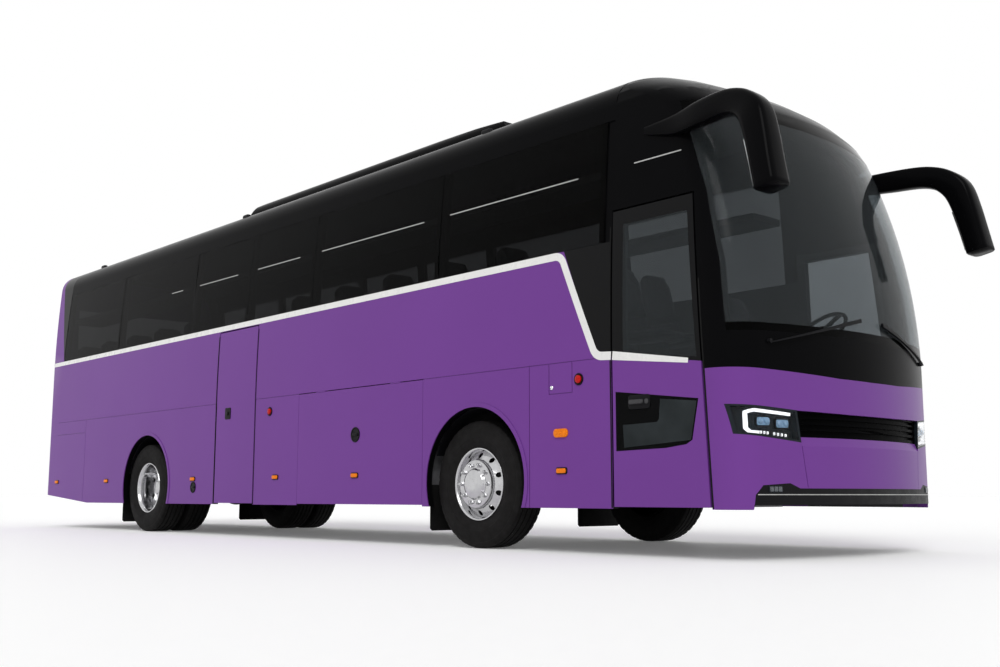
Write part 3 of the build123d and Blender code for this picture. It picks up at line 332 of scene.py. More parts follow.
class Shape:
    """Points and faces gathered for one piece, and the piece made of them."""

    def __init__(self):
        self.verts = []
        self.faces = []

    def add(self, verts, faces):
        start = len(self.verts)
        self.verts += [Vector(v) for v in verts]
        self.faces += [tuple(start + i for i in face) for face in faces]
        return self

    def place(self, matrix, start=0):
        self.verts[start:] = [matrix @ v for v in self.verts[start:]]
        return self

    def make(self, name, look, body="coach_body", sharp=35):
        """A mesh in the row frame that rides on a body; edges sharper than an angle stay sharp."""
        mesh = bpy.data.meshes.new(name)
        mesh.from_pydata([tuple(v) for v in self.verts], [], self.faces)
        work = bmesh.new()
        work.from_mesh(mesh)
        bmesh.ops.remove_doubles(work, verts=work.verts, dist=1e-6)
        bmesh.ops.recalc_face_normals(work, faces=work.faces)
        work.to_mesh(mesh)
        work.free()
        mesh.polygons.foreach_set("use_smooth", [True] * len(mesh.polygons))
        mesh.set_sharp_from_angle(angle=math.radians(sharp))
        mesh.materials.append(MATERIALS[look])
        obj = in_scene(name, mesh)
        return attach(obj, body)


def turns(count):
    """The angles of equal steps around a whole turn."""
    return [2 * math.pi * i / count for i in range(count)]


def grid_faces(rows, columns, wrap_columns=False):
    faces = []
    last = columns if wrap_columns else columns - 1
    for i in range(rows - 1):
        for j in range(last):
            k = (j + 1) % columns
            faces.append((i * columns + j, i * columns + k, (i + 1) * columns + k, (i + 1) * columns + j))
    return faces


def add_rings(shape, verts, around):
    """A skin over rings of points, with the same count around each, closed at both ends."""
    rings = len(verts) // around
    faces = grid_faces(rings, around, wrap_columns=True)
    faces.append(tuple(reversed(range(around))))
    faces.append(tuple((rings - 1) * around + i for i in range(around)))
    return shape.add(verts, faces)


def add_slab(shape, outer, inner):
    """A closed sheet between two grids of points of one size."""
    rows = len(outer)
    columns = len(outer[0])
    flat_outer = [p for row in outer for p in row]
    flat_inner = [p for row in inner for p in row]
    count = rows * columns
    faces = grid_faces(rows, columns)
    faces = faces + [tuple(reversed([count + i for i in face])) for face in faces]
    border = list(range(columns))
    border += [i * columns + columns - 1 for i in range(1, rows)]
    border += [(rows - 1) * columns + i for i in reversed(range(columns - 1))]
    border += [i * columns for i in reversed(range(1, rows - 1))]
    for a, b in zip(border, border[1:] + border[:1]):
        faces.append((a, b, count + b, count + a))
    return shape.add(flat_outer + flat_inner, faces)


def add_turned(shape, profile, segments, way=1, closed=True):
    """A profile of (outward, radius) turned about the Y axis, outward to the left or the right."""
    verts = []
    for angle in turns(segments):
        for out, radius in profile:
            verts.append((radius * math.sin(angle), way * out, radius * math.cos(angle)))
    count = len(profile)
    faces = []
    for i in range(segments):
        j = (i + 1) % segments
        for k in range(count if closed else count - 1):
            m = (k + 1) % count
            faces.append((i * count + k, j * count + k, j * count + m, i * count + m))
    shape.add(verts, faces)


def add_prism(shape, outline, depth, matrix):
    """An outline (u, v) carried from 0 to depth along its normal, then placed."""
    count = len(outline)
    verts = [matrix @ Vector((u, v, 0)) for u, v in outline]
    verts += [matrix @ Vector((u, v, depth)) for u, v in outline]
    faces = [tuple(reversed(range(count))), tuple(range(count, 2 * count))]
    faces += [(i, (i + 1) % count, count + (i + 1) % count, count + i) for i in range(count)]
    return shape.add(verts, faces)


def add_button(shape, profile, sides, matrix):
    """A round or many-sided knob from rings of (radius, height), closed at both ends."""
    verts = []
    for radius, height in profile:
        for angle in turns(sides):
            verts.append(matrix @ Vector((radius * math.cos(angle), radius * math.sin(angle), height)))
    return add_rings(shape, verts, sides)


def facing(outward, place):
    """A frame at a place: u level, v up, and its third axis outward."""
    up = Vector((0, 0, 1))
    matrix = Matrix((up.cross(outward), up, outward)).transposed().to_4x4()
    matrix.translation = place
    return matrix


def out_of_side(x, z, way, proud=0.0):
    """A frame on the coach's side, by its place from the front axle: u along, v up, and out of the wall."""
    return facing(Vector((0, way, 0)), Vector((AXLE_X + x, way * side_y(z, proud), z)))


def out_of_front(y, z, proud=0.0):
    """A frame on the lower front: u across, v up, and out of the panel."""
    outward = (front_at(y, z, 0.1) - front_at(y, z)).normalized()
    return facing(outward, front_at(y, z, proud))


def out_of_rear(y, z, proud=0.0):
    """A frame on the bowed rear wall: u across, v up, and out of the wall."""
    outward = Vector((-math.sqrt(REAR_BOW_R ** 2 - y ** 2), y, 0)).normalized()
    return facing(outward, Vector((REAR_END_X + REAR_BOW_R, 0, z)) + outward * (REAR_BOW_R + proud))


def rounded_box(width, height, radius, steps=5):
    """The outline of a box with round corners."""
    outline = []
    for i, (su, sv) in enumerate(((1, 1), (-1, 1), (-1, -1), (1, -1))):
        for k in range(steps + 1):
            angle = math.pi / 2 * (i + k / steps)
            outline.append((su * (width / 2 - radius) + radius * math.cos(angle),
                            sv * (height / 2 - radius) + radius * math.sin(angle)))
    return outline


def add_cap(shape, outline, height, matrix, bevel=0.25):
    """A raised outline with a bevelled top edge."""
    layers = [(1.0, -0.003), (1.0, height * 0.6), (1.0 - bevel * 0.4, height * 0.9), (1.0 - bevel, height)]
    verts = [matrix @ Vector((u * k, v * k, h)) for k, h in layers for u, v in outline]
    return add_rings(shape, verts, len(outline))


# Stripe: a painted band that runs along the window sill, drops down a diagonal and ends on the door

STRIPE_PROUD = 0.0016
STRIPE_SINK = 0.002
STRIPE_CORNER_R = 0.10


def rounded_path(points, radius, steps=10):
    """A polyline with its inner corners replaced by arcs, as a list of points."""
    path = [Vector(points[0])]
    for before, corner, after in zip(points, points[1:], points[2:]):
        corner = Vector(corner)
        a = (Vector(before) - corner).normalized()
        b = (Vector(after) - corner).normalized()
        half = a.angle(b) / 2
        reach = radius / math.tan(half)
        centre = corner + (a + b).normalized() * (radius / math.sin(half))
        start = corner + a * reach - centre
        sweep = math.pi - 2 * half
        sense = 1 if a.x * b.y - a.y * b.x < 0 else -1
        for i in range(steps + 1):
            turn = sense * sweep * i / steps
            path.append(centre + Vector((start.x * math.cos(turn) - start.y * math.sin(turn),
                                         start.x * math.sin(turn) + start.y * math.cos(turn))))
    path.append(Vector(points[-1]))
    return path


def fine_path(points, step):
    """The same path with points added, so that a band laid along it follows a curved wall."""
    path = [Vector(points[0])]
    for a, b in zip(points, points[1:]):
        count = max(1, math.ceil((Vector(b) - Vector(a)).length / step))
        path += [Vector(a).lerp(Vector(b), (i + 1) / count) for i in range(count)]
    return path


def band_rows(path, widths):
    """Upper edge, middle and lower edge of a band along a flat path."""
    rows = []
    for i, point in enumerate(path):
        ahead = path[min(i + 1, len(path) - 1)] - path[max(i - 1, 0)]
        normal = Vector((-ahead.y, ahead.x)).normalized()
        share = i / (len(path) - 1)
        half = (widths[0] + (widths[1] - widths[0]) * share) / 2
        rows.append([point + normal * half, point, point - normal * half])
    return rows


def add_band(shape, path, widths, surface, proud, sink, step=0.08):
    """A band along a flat path, laid on a surface given as a function of the two flat measures."""
    rows = band_rows(fine_path(path, step), widths)
    outer, inner = ([[surface(p.x, p.y, out) for p in row] for row in rows] for out in (proud, -sink))
    return add_slab(shape, outer, inner)


def side_surface(way):
    return lambda x, z, proud: (x, way * side_y(z, proud), z)


def front_surface(way):
    return lambda y, z, proud: front_at(way * y, z, proud)


def stripe(side, way, door_body):
    sill_mid = SILL_Z - 0.028
    corners = [(REAR_END_X + 0.225, sill_mid), (AXLE_X + 1.045, sill_mid), (AXLE_X + 1.413, 1.447),
               (DOOR_REAR_X, 1.437)]
    on_wall = rounded_path(corners, STRIPE_CORNER_R)
    band = add_band(Shape(), on_wall, (0.055, 0.062), side_surface(way), STRIPE_PROUD, STRIPE_SINK)
    band.make("stripe_" + side, "white")
    on_door = [(DOOR_REAR_X + 0.015, 1.436), (DOOR_REAR_X + 0.705, 1.342)]
    band = add_band(Shape(), on_door, (0.064, 0.034), side_surface(way), STRIPE_PROUD, STRIPE_SINK)
    band.make("door_stripe_" + side, "white", door_body)


stripe("right", -1, "front_door")
stripe("left", 1, "coach_body")


# Tyres

TYRE_SEGMENTS = 168
SIDEWALL = [(0.112, 0.287), (0.118, 0.300), (0.128, 0.318), (0.138, 0.345), (0.1455, 0.372), (0.1455, 0.376),
            (0.148, 0.380), (0.149, 0.400), (0.1475, 0.424), (0.144, 0.446), (0.140, 0.462), (0.137, 0.474),
            (0.1385, 0.478), (0.136, 0.494), (0.131, 0.506)]
SHOULDER = [(0.123, 0.517), (0.112, 0.5205)]
GROOVES = [0.079, 0.028]
GROOVE_HALF = 0.0065
GROOVE_DEPTH = 0.014
CROWN = 0.522
BEAD_FLOOR = [(-0.105, 0.290), (0.105, 0.290)]
# Notches across the shoulder, by segments and by distance out
NOTCH_STEP = 4
NOTCH_DEPTH = 0.005
NOTCH_FROM = 0.100
NOTCH_TO = 0.1315
NOTCH_LOW_R = 0.5


def tread_half():
    """The tread from the shoulder to the middle, with its grooves."""
    points = list(SHOULDER)
    for middle in GROOVES:
        points += [(middle + GROOVE_HALF, CROWN - 0.0006), (middle + GROOVE_HALF * 0.6, CROWN - GROOVE_DEPTH),
                   (middle - GROOVE_HALF * 0.6, CROWN - GROOVE_DEPTH), (middle - GROOVE_HALF, CROWN)]
    return points


def add_tyre(shape, y):
    outer = SIDEWALL + tread_half()
    profile = outer + [(-out, radius) for out, radius in reversed(outer)] + BEAD_FLOOR
    start = len(shape.verts)
    add_turned(shape, profile, TYRE_SEGMENTS)
    count = len(profile)
    for i in range(0, TYRE_SEGMENTS, NOTCH_STEP):
        for k, (out, radius) in enumerate(profile):
            if NOTCH_FROM < abs(out) < NOTCH_TO and radius > NOTCH_LOW_R:
                vert = shape.verts[start + i * count + k]
                scale = (radius - NOTCH_DEPTH) / radius
                vert.x *= scale
                vert.z *= scale
    return shape.place(Matrix.Translation((0, y, 0)), start)


# Rims: a rolled barrel, a disc with ten round hand holes, nuts on a ring, and a hub cap

HOLE_COUNT = 10
HALF_BARREL = [(0.0, 0.2862), (0.115, 0.2862), (0.118, 0.298), (0.124, 0.2985), (0.128, 0.296),
               (0.128, 0.287), (0.122, 0.280), (0.104, 0.272), (0.092, 0.266), (0.0, 0.266)]


def add_barrel(shape, y, ways):
    """One or both halves of a rim's barrel."""
    start = len(shape.verts)
    for way in ways:
        add_turned(shape, HALF_BARREL, 96, way)
    return shape.place(Matrix.Translation((0, y, 0)), start)


def sector_edge(u, v, angle):
    """How far a ray at an angle goes inside a box of half sizes u and v."""
    across = abs(math.cos(angle))
    along = abs(math.sin(angle))
    return min(u / max(across, 1e-9), v / max(along, 1e-9))


def add_holed_ring(shape, r_in, r_out, y_in, y_out, hole_r, thick, way):
    """A conical ring with a row of round holes, in two skins joined through the holes."""
    rays = 32
    half_r = (r_out - r_in) / 2
    mid_r = (r_out + r_in) / 2
    half_a = math.pi / HOLE_COUNT

    def at(sector, u, v, sink):
        """A point by its offset along the ring and its offset outward."""
        radius = mid_r + v
        angle = (2 * sector) * half_a + u / mid_r
        y = y_in + (y_out - y_in) * (radius - r_in) / (r_out - r_in) - sink
        return (radius * math.sin(angle), way * y, radius * math.cos(angle))

    for sector in range(HOLE_COUNT):
        rings = []
        for sink in (0.0, thick):
            edge = []
            hole = []
            for angle in turns(rays):
                reach = sector_edge(half_a * mid_r, half_r, angle)
                edge.append(at(sector, reach * math.cos(angle), reach * math.sin(angle), sink))
                hole.append(at(sector, hole_r * math.cos(angle), hole_r * math.sin(angle), sink))
            rings += [edge, hole]
        verts = [p for ring in (rings[0], rings[1], rings[3], rings[2]) for p in ring]
        shape.add(verts, grid_faces(4, rays, wrap_columns=True))


def add_nuts(shape, circle_r, y, way, size=0.016, height=0.026):
    for i in range(HOLE_COUNT):
        angle = 2 * math.pi * (i + 0.5) / HOLE_COUNT
        matrix = Matrix.Translation((circle_r * math.sin(angle), way * y, circle_r * math.cos(angle)))
        matrix = matrix @ Matrix.Rotation(-way * math.pi / 2, 4, "X")
        add_button(shape, [(size * 1.25, 0), (size * 1.25, 0.004), (size, 0.005), (size, height * 0.8),
                           (size * 0.8, height)], 6, matrix)
        add_button(shape, [(size * 0.55, height * 0.7), (size * 0.5, height * 1.35)], 10, matrix)


# The front disc bulges out of the rim; each point is its distance out and its radius
FRONT_DISC = [(0.128, 0.203), (0.152, 0.199), (0.162, 0.194), (0.165, 0.188), (0.165, 0.130), (0.170, 0.124),
              (0.184, 0.118), (0.190, 0.112), (0.192, 0.104), (0.196, 0.098), (0.198, 0.050), (0.1985, 0.0)]


def add_front_rim(shape, way):
    add_barrel(shape, 0, (way,))
    add_holed_ring(shape, 0.203, 0.268, 0.128, 0.078, 0.0215, 0.016, way)
    add_turned(shape, FRONT_DISC, 80, way, closed=False)
    add_nuts(shape, 0.159, 0.163, way, 0.0185, 0.028)
    return shape


def add_drum(shape, y, way, out):
    """The dark brake drum that shows through the hand holes."""
    start = len(shape.verts)
    profile = [(out, 0.262), (out + 0.004, 0.258), (out + 0.004, 0.192), (out, 0.188), (out - 0.03, 0.188),
               (out - 0.03, 0.262)]
    add_turned(shape, profile, 64, way)
    return shape.place(Matrix.Translation((0, y, 0)), start)


def add_rear_rim(shape, y, way, dish_y, hub_y):
    start = len(shape.verts)
    add_barrel(shape, 0, (way, -way))
    add_holed_ring(shape, 0.205, 0.268, dish_y, dish_y + 0.012, 0.0235, 0.016, way)
    face = [(dish_y, 0.205), (dish_y - 0.002, 0.200), (dish_y - 0.002, 0.132), (dish_y + 0.012, 0.128),
            (hub_y - 0.022, 0.118), (hub_y - 0.016, 0.110), (hub_y - 0.014, 0.080), (hub_y - 0.004, 0.074),
            (hub_y, 0.060), (hub_y + 0.001, 0.0)]
    add_turned(shape, face, 80, way, closed=False)
    add_nuts(shape, 0.1675, dish_y - 0.003, way)
    return shape.place(Matrix.Translation((0, y, 0)), start)


FRONT_WHEEL_Y = 1.056
OUTER_TWIN_Y = 1.076
INNER_TWIN_Y = 0.741


def wheels():
    for side, way in SIDES:
        front = Matrix.Translation((AXLE_X, way * FRONT_WHEEL_Y, WHEEL_Z))
        rear = Matrix.Translation((REAR_AXLE_X, 0, WHEEL_Z))
        outer = way * OUTER_TWIN_Y
        inner = way * INNER_TWIN_Y
        shape = add_tyre(Shape(), 0).place(front)
        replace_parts(shape.make("tyre_front_" + side, "tyre", "front_wheel_" + side, 25), "front_tyre_" + side)
        shape = add_front_rim(Shape(), way).place(front)
        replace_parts(shape.make("alloy_front_" + side, "alloy", "front_wheel_" + side), "front_rim_" + side)
        # The brake drum and the inner half of the alloy barrel are one near-black piece: the drum is dark, and
        # the barrel's black is painted shade seen through the hand holes.
        shape = add_drum(Shape(), 0, way, 0.034)
        add_barrel(shape, 0, (-way,)).place(front)
        shape.make("drum_and_painted_shade_front_" + side, "deep_black", "front_wheel_" + side)
        shape = add_tyre(Shape(), outer)
        add_tyre(shape, inner).place(rear)
        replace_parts(shape.make("tyres_rear_" + side, "tyre", "rear_wheels_" + side, 25), "rear_tyres_" + side)
        shape = add_rear_rim(Shape(), outer, way, -0.098, 0.024).place(rear)
        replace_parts(shape.make("alloys_rear_" + side, "alloy", "rear_wheels_" + side), "rear_rims_" + side)
        # The brake drum and the whole inner twin rim are one near-black piece: the drum is dark, and the inner
        # rim's black is painted shade seen through the outer rim's hand holes.
        shape = add_drum(Shape(), outer, way, -0.124)
        add_rear_rim(shape, inner, way, 0.098, 0.100).place(rear)
        shape.make("drum_and_painted_shade_rear_" + side, "deep_black", "rear_wheels_" + side)


wheels()


# Seats: a cushion, a back and a head pad each, on a shared pedestal

SEAT_PITCH = 0.8
FIRST_SEAT_X = 0.3
SEAT_ROWS = 12
SEAT_YS = [0.4675, 0.9225]
STAIRS_REAR_X = -4.33
STAIRS_FRONT_X = -3.432
DECK_Z = 1.4
DRIVER_SEAT = (1.42, 0.62, 1.0)
# Rings of a pad from its underside to its top: the sign of the height, and the size of the ring
PAD_RINGS = [(-1, 0.25), (-1, 0.7), (-1, 0.92), (-1, 0.985), (0, 1.0), (1, 0.985), (1, 0.94), (1, 0.85),
             (1, 0.7), (1, 0.5), (1, 0.3), (1, 0.1)]
PAD_AROUND = 28
PAD_POWER = 0.4
CHANNELS = (-0.075, 0.075)
CHANNEL_DEPTH = 0.012
CHANNEL_WIDTH = 0.02
BACK_LEAN = -102


def power(value, exponent):
    return math.copysign(abs(value) ** exponent, value)


def add_pad(shape, half, matrix, channels=()):
    """A crowned pad: sides pulled in between its corners, and sewn channels along its top."""
    a, b, c = half
    verts = []
    for sign, ring in PAD_RINGS:
        rise = sign * c * (1 - ring ** 4) ** PAD_POWER
        for angle in turns(PAD_AROUND):
            pull = ring * (1 - 0.04 * math.cos(2 * angle) ** 2)
            u = a * pull * power(math.cos(angle), PAD_POWER)
            v = b * pull * power(math.sin(angle), PAD_POWER)
            sewn = sum(CHANNEL_DEPTH * math.exp(-((v - seam) / CHANNEL_WIDTH) ** 2) for seam in channels)
            verts.append(matrix @ Vector((u, v, rise - (sewn if sign > 0 else 0))))
    add_rings(shape, verts, PAD_AROUND)


def add_seat(pads, frames, x, y, z):
    lean = Matrix.Rotation(math.radians(BACK_LEAN), 4, "Y")
    flip = Matrix.Scale(-1, 4, (0, 0, 1))
    add_pad(pads, (0.265, 0.215, 0.060), Matrix.Translation((x + 0.19, y, z + 0.442)), CHANNELS)
    back = Matrix.Translation((x - 0.085, y, z + 0.76)) @ lean @ flip
    add_pad(pads, (0.345, 0.215, 0.050), back, CHANNELS)
    head = Matrix.Translation((x - 0.145, y, z + 1.035)) @ lean @ flip
    add_pad(pads, (0.080, 0.150, 0.062), head)
    pedestal = Matrix.Translation((x + 0.21, y, z))
    add_cap(frames, rounded_box(0.30, 0.10, 0.02), 0.40, pedestal, 0.02)
    arm_rest = Matrix.Translation((x + 0.14, y - 0.222, z + 0.60))
    add_cap(frames, rounded_box(0.34, 0.05, 0.02), 0.05, arm_rest, 0.08)


def seat_places():
    """The driver's seat and the rows, without right-hand seats over the stairs of the middle door."""
    places = [DRIVER_SEAT]
    for row in range(SEAT_ROWS):
        x = FIRST_SEAT_X - row * SEAT_PITCH
        ways = (1, -1) if x + 0.5 < STAIRS_REAR_X or x - 0.24 > STAIRS_FRONT_X else (1,)
        places += [(x, way * y, DECK_Z) for way in ways for y in SEAT_YS]
    return places


def seats():
    pads = Shape()
    frames = Shape()
    for x, y, z in seat_places():
        add_seat(pads, frames, AXLE_X + x, y, z)
    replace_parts(pads.make("seat_pads", "cloth", sharp=80), "seats")
    frames.make("seat_frames", "dark_steel")


seats()


# Liners that close each wheel arch off from the underside

ARCH_Z = 0.54
LINER_R = 0.604
LINER_INNER_Y = 0.556
LINER_OUTER_Y = 1.206
LINER_START = 22
LINER_FOOT_Z = 0.80
LINER_THICK = 0.004


def arch_liner(name, x, way):
    angles = [math.radians(LINER_START + (180 - 2 * LINER_START) * i / 24) for i in range(25)]
    across = [LINER_INNER_Y + (LINER_OUTER_Y - LINER_INNER_Y) * k / 6 for k in range(7)]

    def tunnel(radius):
        rows = []
        for angle in angles:
            along = x + radius * math.cos(angle)
            rows.append([(along, way * y, ARCH_Z + radius * math.sin(angle)) for y in across])
        return rows

    def inner_wall(y):
        rows = []
        for angle in angles:
            top = ARCH_Z + LINER_R * math.sin(angle)
            low = min(LINER_FOOT_Z, top - 0.01)
            along = x + LINER_R * math.cos(angle)
            rows.append([(along, way * y, low + (top - low) * k / 4) for k in range(5)])
        return rows

    shape = Shape()
    add_slab(shape, tunnel(LINER_R), tunnel(LINER_R - LINER_THICK))
    add_slab(shape, inner_wall(LINER_INNER_Y), inner_wall(LINER_INNER_Y + LINER_THICK))
    shape.make(name, "trim")


for hand, sign in SIDES:
    arch_liner("front_liner_" + hand, AXLE_X + 0.04, sign)
    arch_liner("rear_liner_" + hand, REAR_AXLE_X + 0.06, sign)


# Mud flaps: rubber sheets that hang low behind the wheels and are wider below the frame

FLAP_THICK = 0.008
FLAP_STEP_Z = 0.330
FLAP_CORNER = 0.02
MUD_FLAPS = [
    # rear face, inner edge below the step, inner edge above it, outer edge, foot, top
    (AXLE_X - 0.605, 0.62, 0.85, 1.205, 0.130, 0.520),
    (REAR_AXLE_X - 0.668, 0.42, 0.59, 1.215, 0.105, 0.700),
]


def mud_flap_sheets():
    sheets = Shape()
    for x, low_inner, inner, outer, foot, top in MUD_FLAPS:
        place = Matrix(((0, 0, 1), (1, 0, 0), (0, 1, 0))).to_4x4()
        place.translation = Vector((x, 0, 0))
        outline = [(low_inner + FLAP_CORNER, foot), (outer - FLAP_CORNER, foot), (outer, foot + FLAP_CORNER),
                   (outer, top), (inner, top), (inner, FLAP_STEP_Z), (low_inner, FLAP_STEP_Z),
                   (low_inner, foot + FLAP_CORNER)]
        for way in (1, -1):
            add_prism(sheets, [(way * y, z) for y, z in outline], FLAP_THICK, place)
    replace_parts(sheets.make("mud_flap_sheets", "rubber"), "mud_flaps")


# Headlamps: what shows behind each lens, by distance from the middle and height

LIGHT_BAR = [(0.862, 0.964), (1.140, 0.988), (1.186, 0.974), (1.184, 0.868), (1.160, 0.842), (1.105, 0.838)]
PROJECTORS = [(1.062, 0.915), (0.915, 0.902)]
SMALL_BARS = [(1.085, 0.842), (1.060, 0.840), (1.035, 0.838), (0.985, 0.833), (0.955, 0.830), (0.925, 0.827),
              (0.895, 0.824)]


def headlamp(side, way):
    bar = add_band(Shape(), LIGHT_BAR, (0.020, 0.024), front_surface(way), -0.012, 0.028, 0.015)
    for y, z in SMALL_BARS:
        add_cap(bar, rounded_box(0.007, 0.020, 0.002), 0.012, out_of_front(way * y, z, -0.030))
    bar.make("light_bar_" + side, "lamp_white")
    blocks = Shape()
    for y, z in PROJECTORS:
        add_cap(blocks, rounded_box(0.116, 0.070, 0.016), 0.010, out_of_front(way * y, z, -0.042), 0.1)
    blocks.make("projector_frames_" + side, "trim")
    glass = Shape()
    for y, z in PROJECTORS:
        add_cap(glass, rounded_box(0.100, 0.054, 0.014), 0.010, out_of_front(way * y, z, -0.036), 0.12)
        for offset in (-0.025, 0.025):
            matrix = out_of_front(way * (y + offset), z, -0.027)
            add_button(glass, [(0.021, 0), (0.021, 0.004), (0.016, 0.011), (0.008, 0.015)], 24, matrix)
    glass.make("projectors_" + side, "lamp_blue")


# Lower front: a bright line along the lip and a lamp in each notch

FOG_Y = 1.005
FOG_Z = 0.470
LIP_LINE = [(-1.132, 0.434), (1.132, 0.434)]


def lower_front():
    line = add_band(Shape(), LIP_LINE, (0.006, 0.006), front_surface(1), 0.002, 0.003, 0.015)
    line.make("lip_line", "line_grey")
    for side, way in SIDES:
        place = out_of_front(way * FOG_Y, FOG_Z)
        rim = add_cap(Shape(), rounded_box(0.110, 0.044, 0.008), 0.004, place, 0.05)
        rim.make("fog_lamp_rim_" + side, "lamp_grey")
        lens = Shape()
        for offset in (-0.032, 0, 0.032):
            matrix = out_of_front(way * (FOG_Y + offset), FOG_Z, 0.003)
            add_cap(lens, rounded_box(0.028, 0.032, 0.006), 0.006, matrix)
        lens.make("fog_lamp_" + side, "lamp_dim")


# Fittings on the sides, each with its place along the coach from the front axle

MARKERS = [-8.748, -7.121, -4.790, -3.026, -1.634, 1.054]
MARKER_Z = 0.612
INDICATOR_X = 1.050
INDICATOR_Z = 0.895
FLAP_LOCK_Z = 0.988
WINDOW_LINES = [(1.773, 2.211), (-0.341, 1.203), (-2.343, -0.705), (-3.584, -2.748), (-4.894, -4.014),
                (-5.603, -5.318)]
WINDOW_LINE_Z = 2.850
MOVING_SIDE = {
    # body: side, rear edge, front edge, top
    "luggage_flap_right": (-1, -2.618, -0.630, BELT_Z),
    "mid_door": (-1, -4.300, -3.462, 2.20),
    "luggage_flap_left_front": (1, -2.618, -0.630, BELT_Z),
    "luggage_flap_left_rear": (1, -4.606, -2.618, BELT_Z),
}


def body_at(way, x, z):
    for name, (side, rear, front, top) in MOVING_SIDE.items():
        if side == way and rear < x < front and z < top:
            return name
    return "coach_body"


def side_markers(side, way):
    for number, x in enumerate(MARKERS):
        body = body_at(way, x, MARKER_Z)
        place = out_of_side(x, MARKER_Z, way)
        base = add_cap(Shape(), rounded_box(0.118, 0.052, 0.016), 0.005, place, 0.05)
        base.make(f"marker_base_{side}_{number}", "trim", body)
        place = out_of_side(x, MARKER_Z, way, 0.004)
        lens = add_cap(Shape(), rounded_box(0.096, 0.036, 0.012), 0.014, place)
        lens.make(f"marker_{side}_{number}", "amber", body)
    place = out_of_side(INDICATOR_X, INDICATOR_Z, way)
    indicator = add_cap(Shape(), rounded_box(0.150, 0.066, 0.030), 0.016, place)
    add_button(indicator, [(0.012, 0), (0.012, 0.017), (0.008, 0.020)], 16, place)
    indicator.make("indicator_" + side, "amber")


def window_lines(side, way):
    lines = Shape()
    for rear, front in WINDOW_LINES:
        ends = [(AXLE_X + rear, WINDOW_LINE_Z), (AXLE_X + front, WINDOW_LINE_Z)]
        add_band(lines, ends, (0.009, 0.009), side_surface(way), 0.001, 0.002)
    lines.make("window_lines_" + side, "line_grey")


def lock(name, x, z, way, radius, body, look="trim"):
    """A round turn lock: a rim, a sunk dish and a grip across it."""
    matrix = out_of_side(x, z, way)
    rings = [(radius, -0.003), (radius, 0.006), (radius * 0.88, 0.008), (radius * 0.82, 0.002)]
    shape = add_button(Shape(), rings, 32, matrix)
    add_cap(shape, rounded_box(radius * 1.3, radius * 0.36, radius * 0.15), 0.012, matrix)
    shape.make(name, look, body)


def red_knob(name, x, z):
    matrix = out_of_side(x, z, -1)
    ring = add_button(Shape(), [(0.046, -0.003), (0.046, 0.006), (0.040, 0.008), (0.034, 0.004)], 28, matrix)
    ring.make(name + "_ring", "trim")
    knob = add_button(Shape(), [(0.030, 0), (0.030, 0.014), (0.024, 0.019), (0.010, 0.021)], 24, matrix)
    knob.make(name, "red")


def side_fittings():
    for side, way in SIDES:
        side_markers(side, way)
        window_lines(side, way)
    for name, x, way in (("right", -1.632, -1), ("left_front", -1.632, 1), ("left_rear", -3.612, 1)):
        lock("flap_lock_" + name, x, FLAP_LOCK_Z, way, 0.070, "luggage_flap_" + name)
    lock("skirt_cap", -4.773, 0.520, -1, 0.062, "coach_body")
    lock("filler_lock", 0.956, 1.243, -1, 0.016, "coach_body", "chrome")
    red_knob("stop_knob_front", 1.241, 1.289)
    red_knob("stop_knob_rear", -3.164, 1.286)
    matrix = out_of_side(-4.036, 1.311, -1)
    plate = add_cap(Shape(), rounded_box(0.120, 0.124, 0.016), 0.006, matrix, 0.08)
    add_button(plate, [(0.022, 0.005), (0.022, 0.012), (0.016, 0.015)], 20, matrix)
    plate.make("mid_door_lock", "trim", "mid_door")


SEALS = [
    # name, low end and high end in side view, from the front axle
    ("door_seal_rear", (1.558, 0.34), (1.558, 2.40)),
    ("door_seal_front", (2.451, 0.34), (2.370, 1.90)),
    ("mid_door_seal_front", (-3.456, 0.34), (-3.456, 2.18)),
    ("mid_door_seal_rear", (-4.306, 0.34), (-4.306, 2.18)),
]
PANE_VIEW = [(1.672, 0.927), (1.985, 0.935), (2.005, 0.955), (2.018, 1.095), (2.335, 1.062), (2.280, 0.800),
             (1.682, 0.765)]


def door_seals():
    for name, (low_x, low_z), (high_x, high_z) in SEALS:
        ends = [(AXLE_X + low_x, low_z), (AXLE_X + high_x, high_z)]
        add_band(Shape(), ends, (0.012, 0.012), side_surface(-1), 0.0015, 0.003).make(name, "rubber")


def low_pane_view():
    """The see-through part of the lower door pane, a little lighter than the rest."""
    place = out_of_side(0, 0, -1, -0.002)
    add_prism(Shape(), PANE_VIEW, 0.003, place).make("low_pane_view", "pane_haze", "front_door")


def door_handle():
    matrix = out_of_side(1.83, 1.085, -1)
    plate = add_cap(Shape(), rounded_box(0.200, 0.100, 0.022), 0.008, matrix, 0.06)
    plate.make("door_handle_plate", "trim", "front_door")
    bar_place = matrix @ Matrix.Translation((-0.02, 0, 0))
    grip = add_cap(Shape(), rounded_box(0.130, 0.034, 0.012), 0.030, bar_place)
    key_place = matrix @ Matrix.Translation((0.072, 0, 0))
    add_button(grip, [(0.018, 0.006), (0.018, 0.013), (0.013, 0.016)], 20, key_place)
    grip.make("door_handle", "dark_steel", "front_door")


# Mirrors: smooth horns through the stations of the solids, with a reflecting face under each hanging end

